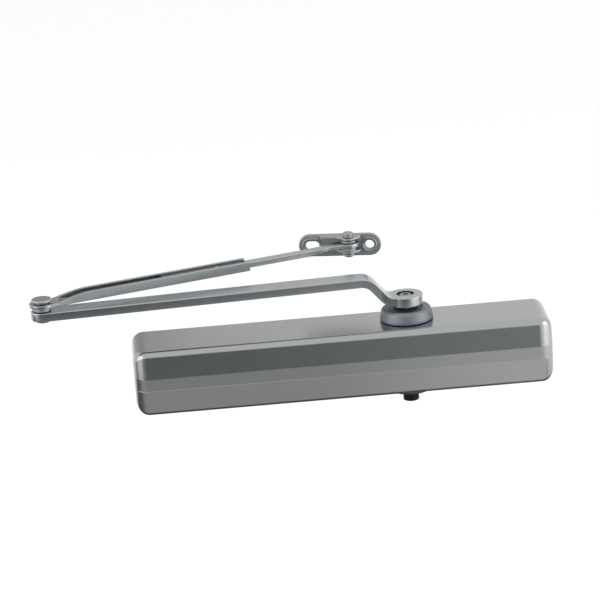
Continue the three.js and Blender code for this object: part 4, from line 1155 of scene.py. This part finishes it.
FLOOR_HALF = 9
# where the glowing front cards stand, which paint the dark reflections across the cover's front
FRONT_REFLECTION_LEFT, FRONT_REFLECTION_RIGHT, FRONT_REFLECTION_NEAR, FRONT_REFLECTION_FAR = -1.4, 0.62, -4.5, 0.35
FRONT_REFLECTION_TOP = 0.5
# where the glowing back card stands, which paints the shade on the left end of the cover's top
BACK_REFLECTION_LEFT, BACK_REFLECTION_RIGHT, BACK_REFLECTION_Y, BACK_REFLECTION_FOOT, BACK_REFLECTION_TOP = -0.9, 0.8, 1.9, -0.2, 1.7

# Per softbox: name, place, power and tint.
SOFTBOXES = (
    ("left_softbox", (-1.5, -0.5, 0.2), 9, (1, 0.99, 0.98)),
    ("right_softbox", (1.5, -0.5, 0.2), 11, (0.95, 0.98, 1)),
)
SOFTBOX_SIDE = 1.5

# The camera's direction in degrees, and the point it looks at in metres.
AZIMUTH, ELEVATION, ROLL = -2.87, 17.41, -4.0
LOOKED_AT = (-0.02865, -0.027, 0.04738)


def floor_paint():
    """The floor's pale, matt material."""
    made = bpy.data.materials.new("pale_floor")
    made.use_nodes = True
    shader = made.node_tree.nodes["Principled BSDF"]
    shader.inputs["Base Color"].default_value = (0.96, 0.96, 0.96, 1)
    shader.inputs["Roughness"].default_value = 0.8
    shader.inputs["Specular IOR Level"].default_value = 0.0
    return made


def graded_card(name, axis, steps, side):
    """A glowing card, brighter or dimmer in steps along one axis and from side to side."""
    made = bpy.data.materials.new(name)
    made.use_nodes = True
    nodes, links = made.node_tree.nodes, made.node_tree.links
    nodes.remove(nodes["Principled BSDF"])
    place = nodes.new("ShaderNodeTexCoord").outputs["Object"]
    parts = nodes.new("ShaderNodeSeparateXYZ")
    links.new(place, parts.inputs["Vector"])
    first, last = steps[0][0], steps[-1][0]
    depth = nodes.new("ShaderNodeMapRange")
    depth.inputs["From Min"].default_value = first
    depth.inputs["From Max"].default_value = last
    links.new(parts.outputs[axis], depth.inputs["Value"])
    ramp = nodes.new("ShaderNodeValToRGB")
    elements = ramp.color_ramp.elements
    elements.remove(elements[1])
    for i, (distance, glow, cool) in enumerate(steps):
        at = (distance - first) / (last - first)
        element = elements[0] if i == 0 else elements.new(at)
        element.position = at
        element.color = (glow * (1 - cool), glow, glow * (1 + cool), 1)
    links.new(depth.outputs["Result"], ramp.inputs["Fac"])
    across = nodes.new("ShaderNodeMapRange")
    sides = ("From Min", "From Max", "To Min", "To Max")
    for label, value in zip(sides, side):
        across.inputs[label].default_value = value
    links.new(parts.outputs["X"], across.inputs["Value"])
    glow = nodes.new("ShaderNodeEmission")
    links.new(ramp.outputs["Color"], glow.inputs["Color"])
    links.new(across.outputs["Result"], glow.inputs["Strength"])
    links.new(glow.outputs["Emission"], nodes["Material Output"].inputs["Surface"])
    return made


def sheet(name, corners_of_sheet, made):
    """A flat four-cornered sheet of the stage, in metres."""
    mesh = bpy.data.meshes.new(name)
    mesh.from_pydata(corners_of_sheet, [], [(0, 1, 2, 3)])
    obj = bpy.data.objects.new(name, mesh)
    bpy.context.scene.collection.objects.link(obj)
    mesh.materials.append(made)
    return obj


def soft_light(name, place, power, tint):
    """A square light aimed at the object."""
    data = bpy.data.lights.new(name, "AREA")
    data.shape = "RECTANGLE"
    data.size = data.size_y = SOFTBOX_SIDE
    data.energy = power
    data.color = tint
    lamp = bpy.data.objects.new(name, data)
    bpy.context.scene.collection.objects.link(lamp)
    lamp.location = place
    lamp.rotation_euler = (-Vector(place)).to_track_quat("-Z", "Y").to_euler()
    lamp.visible_camera = False


def studio_camera(stage):
    """The camera, turned about its own line of sight by the roll."""
    azimuth, elevation, roll = (math.radians(v) for v in (AZIMUTH, ELEVATION, ROLL))
    back = Vector((
        math.sin(azimuth) * math.cos(elevation),
        -math.cos(azimuth) * math.cos(elevation),
        math.sin(elevation),
    ))
    right = Vector((math.cos(azimuth), math.sin(azimuth), 0))
    up = back.cross(right)
    across = right * math.cos(roll) + up * math.sin(roll)
    upward = up * math.cos(roll) - right * math.sin(roll)
    data = bpy.data.cameras.new("camera")
    data.lens = stage.focal_length
    data.sensor_width = 36
    data.clip_start, data.clip_end = 0.05, 60
    camera = bpy.data.objects.new("camera", data)
    bpy.context.scene.collection.objects.link(camera)
    turn = Matrix((across, upward, back)).transposed()
    place = Vector(LOOKED_AT) + back * stage.camera_distance
    camera.matrix_world = Matrix.Translation(place) @ turn.to_4x4()
    return camera


class BuildStage(bpy.types.Operator):
    """Makes the pale floor, the soft light, the glowing cards that paint reflections on the cover,
    and the camera
    """

    bl_idname = "door_closer.stage"
    bl_label = "Stage"

    def execute(self, context):
        scene = context.scene
        stage = settings().stage
        scene.view_settings.view_transform = "Standard"
        world = bpy.data.worlds.new("studio")
        world.use_nodes = True
        background = world.node_tree.nodes["Background"]
        background.inputs["Color"].default_value = (1, 1, 1, 1)
        background.inputs["Strength"].default_value = 1.0
        scene.world = world

        drop, far = -stage.floor_drop, FLOOR_HALF
        floor = [(-far, -far, drop), (far, -far, drop), (far, far, drop), (-far, far, drop)]
        sheet("floor", floor, floor_paint())

        # glowing cards in front, seen only in the gloss, which paint the dark reflections across
        # the cover's front: one lying low and one standing at its near edge
        lift = drop + 0.002
        front = graded_card("painted_reflection_front", "Y", FRONT_REFLECTION_STEPS, FRONT_REFLECTION_SIDES)
        near_edge = [(FRONT_REFLECTION_LEFT, FRONT_REFLECTION_NEAR, lift), (FRONT_REFLECTION_RIGHT, FRONT_REFLECTION_NEAR, lift)]
        far_edge = [(FRONT_REFLECTION_RIGHT, FRONT_REFLECTION_FAR, lift), (FRONT_REFLECTION_LEFT, FRONT_REFLECTION_FAR, lift)]
        top_edge = [
            (FRONT_REFLECTION_RIGHT, FRONT_REFLECTION_NEAR, FRONT_REFLECTION_TOP), (FRONT_REFLECTION_LEFT, FRONT_REFLECTION_NEAR, FRONT_REFLECTION_TOP),
        ]
        # a glowing card behind, seen only in the gloss and dimmer to the left, which paints the
        # shade on the left end of the cover's top
        back_reflection_glow = graded_card("painted_reflection_back", "X", BACK_REFLECTION_STEPS, BACK_REFLECTION_SIDES)
        behind = [
            (BACK_REFLECTION_LEFT, BACK_REFLECTION_Y, BACK_REFLECTION_FOOT), (BACK_REFLECTION_RIGHT, BACK_REFLECTION_Y, BACK_REFLECTION_FOOT),
            (BACK_REFLECTION_RIGHT, BACK_REFLECTION_Y, BACK_REFLECTION_TOP), (BACK_REFLECTION_LEFT, BACK_REFLECTION_Y, BACK_REFLECTION_TOP),
        ]
        for name, places, made in (
            ("painted_reflection_front", near_edge + far_edge, front),
            ("painted_reflection_wall", near_edge + top_edge, front),
            ("painted_reflection_back", behind, back_reflection_glow),
        ):
            # each glowing card only paints reflections: camera, diffuse and shadow rays pass it by
            card = sheet(name, places, made)
            card.visible_camera = False
            card.visible_diffuse = False
            card.visible_shadow = False

        for softbox in SOFTBOXES:
            soft_light(*softbox)
        scene.camera = studio_camera(stage)
        return {"FINISHED"}


# ---- panel and registration ----------------------------------------------------
class CloserSettings(bpy.types.PropertyGroup):
    """Everything a user would change."""

    cover: PointerProperty(type=CoverSizes, name="Cover")
    arm: PointerProperty(type=ArmSizes, name="Main arm")
    forearm: PointerProperty(type=ForearmSizes, name="Forearm")
    shoe: PointerProperty(type=ShoeSizes, name="Shoe")
    springs: PointerProperty(type=SpringSizes, name="Springs")
    finishes: PointerProperty(type=Finishes, name="Finishes")
    stage: PointerProperty(type=StageSettings, name="Stage")


OPERATORS = (
    BuildCover, BuildCaps, BuildSpindleEnds, BuildMainArm, BuildElbow, BuildForearm, BuildShoe,
    BuildCoverScrews, BuildSprings, FinishInnerPieces, BuildStage,
)


class CloserPanel(bpy.types.Panel):
    """Lists the closer's sizes and its building steps"""

    bl_idname = "VIEW3D_PT_door_closer"
    bl_label = "Door closer"
    bl_space_type = "VIEW_3D"
    bl_region_type = "UI"
    bl_category = "Door closer"

    def draw(self, context):
        layout = self.layout
        for group in ("cover", "arm", "forearm", "shoe", "springs", "finishes", "stage"):
            box = layout.box()
            box.label(text=group.capitalize())
            values = getattr(context.scene.door_closer, group)
            for name in values.__annotations__:
                box.prop(values, name)
        for operator in OPERATORS:
            layout.operator(operator.bl_idname)


CLASSES = (
    CoverSizes, ArmSizes, ForearmSizes, ShoeSizes, SpringSizes, Finishes, StageSettings,
    CloserSettings, *OPERATORS, CloserPanel,
)


def register():
    """Registers the classes and the scene's settings."""
    for cls in CLASSES:
        bpy.utils.register_class(cls)
    bpy.types.Scene.door_closer = PointerProperty(type=CloserSettings)


def unregister():
    """Takes the classes and the settings away again."""
    del bpy.types.Scene.door_closer
    for cls in reversed(CLASSES):
        bpy.utils.unregister_class(cls)


def main():
    """Builds everything in order."""
    register()
    for operator in OPERATORS:
        group, name = operator.bl_idname.split(".")
        getattr(getattr(bpy.ops, group), name)()


if __name__ == "__main__":
    main()
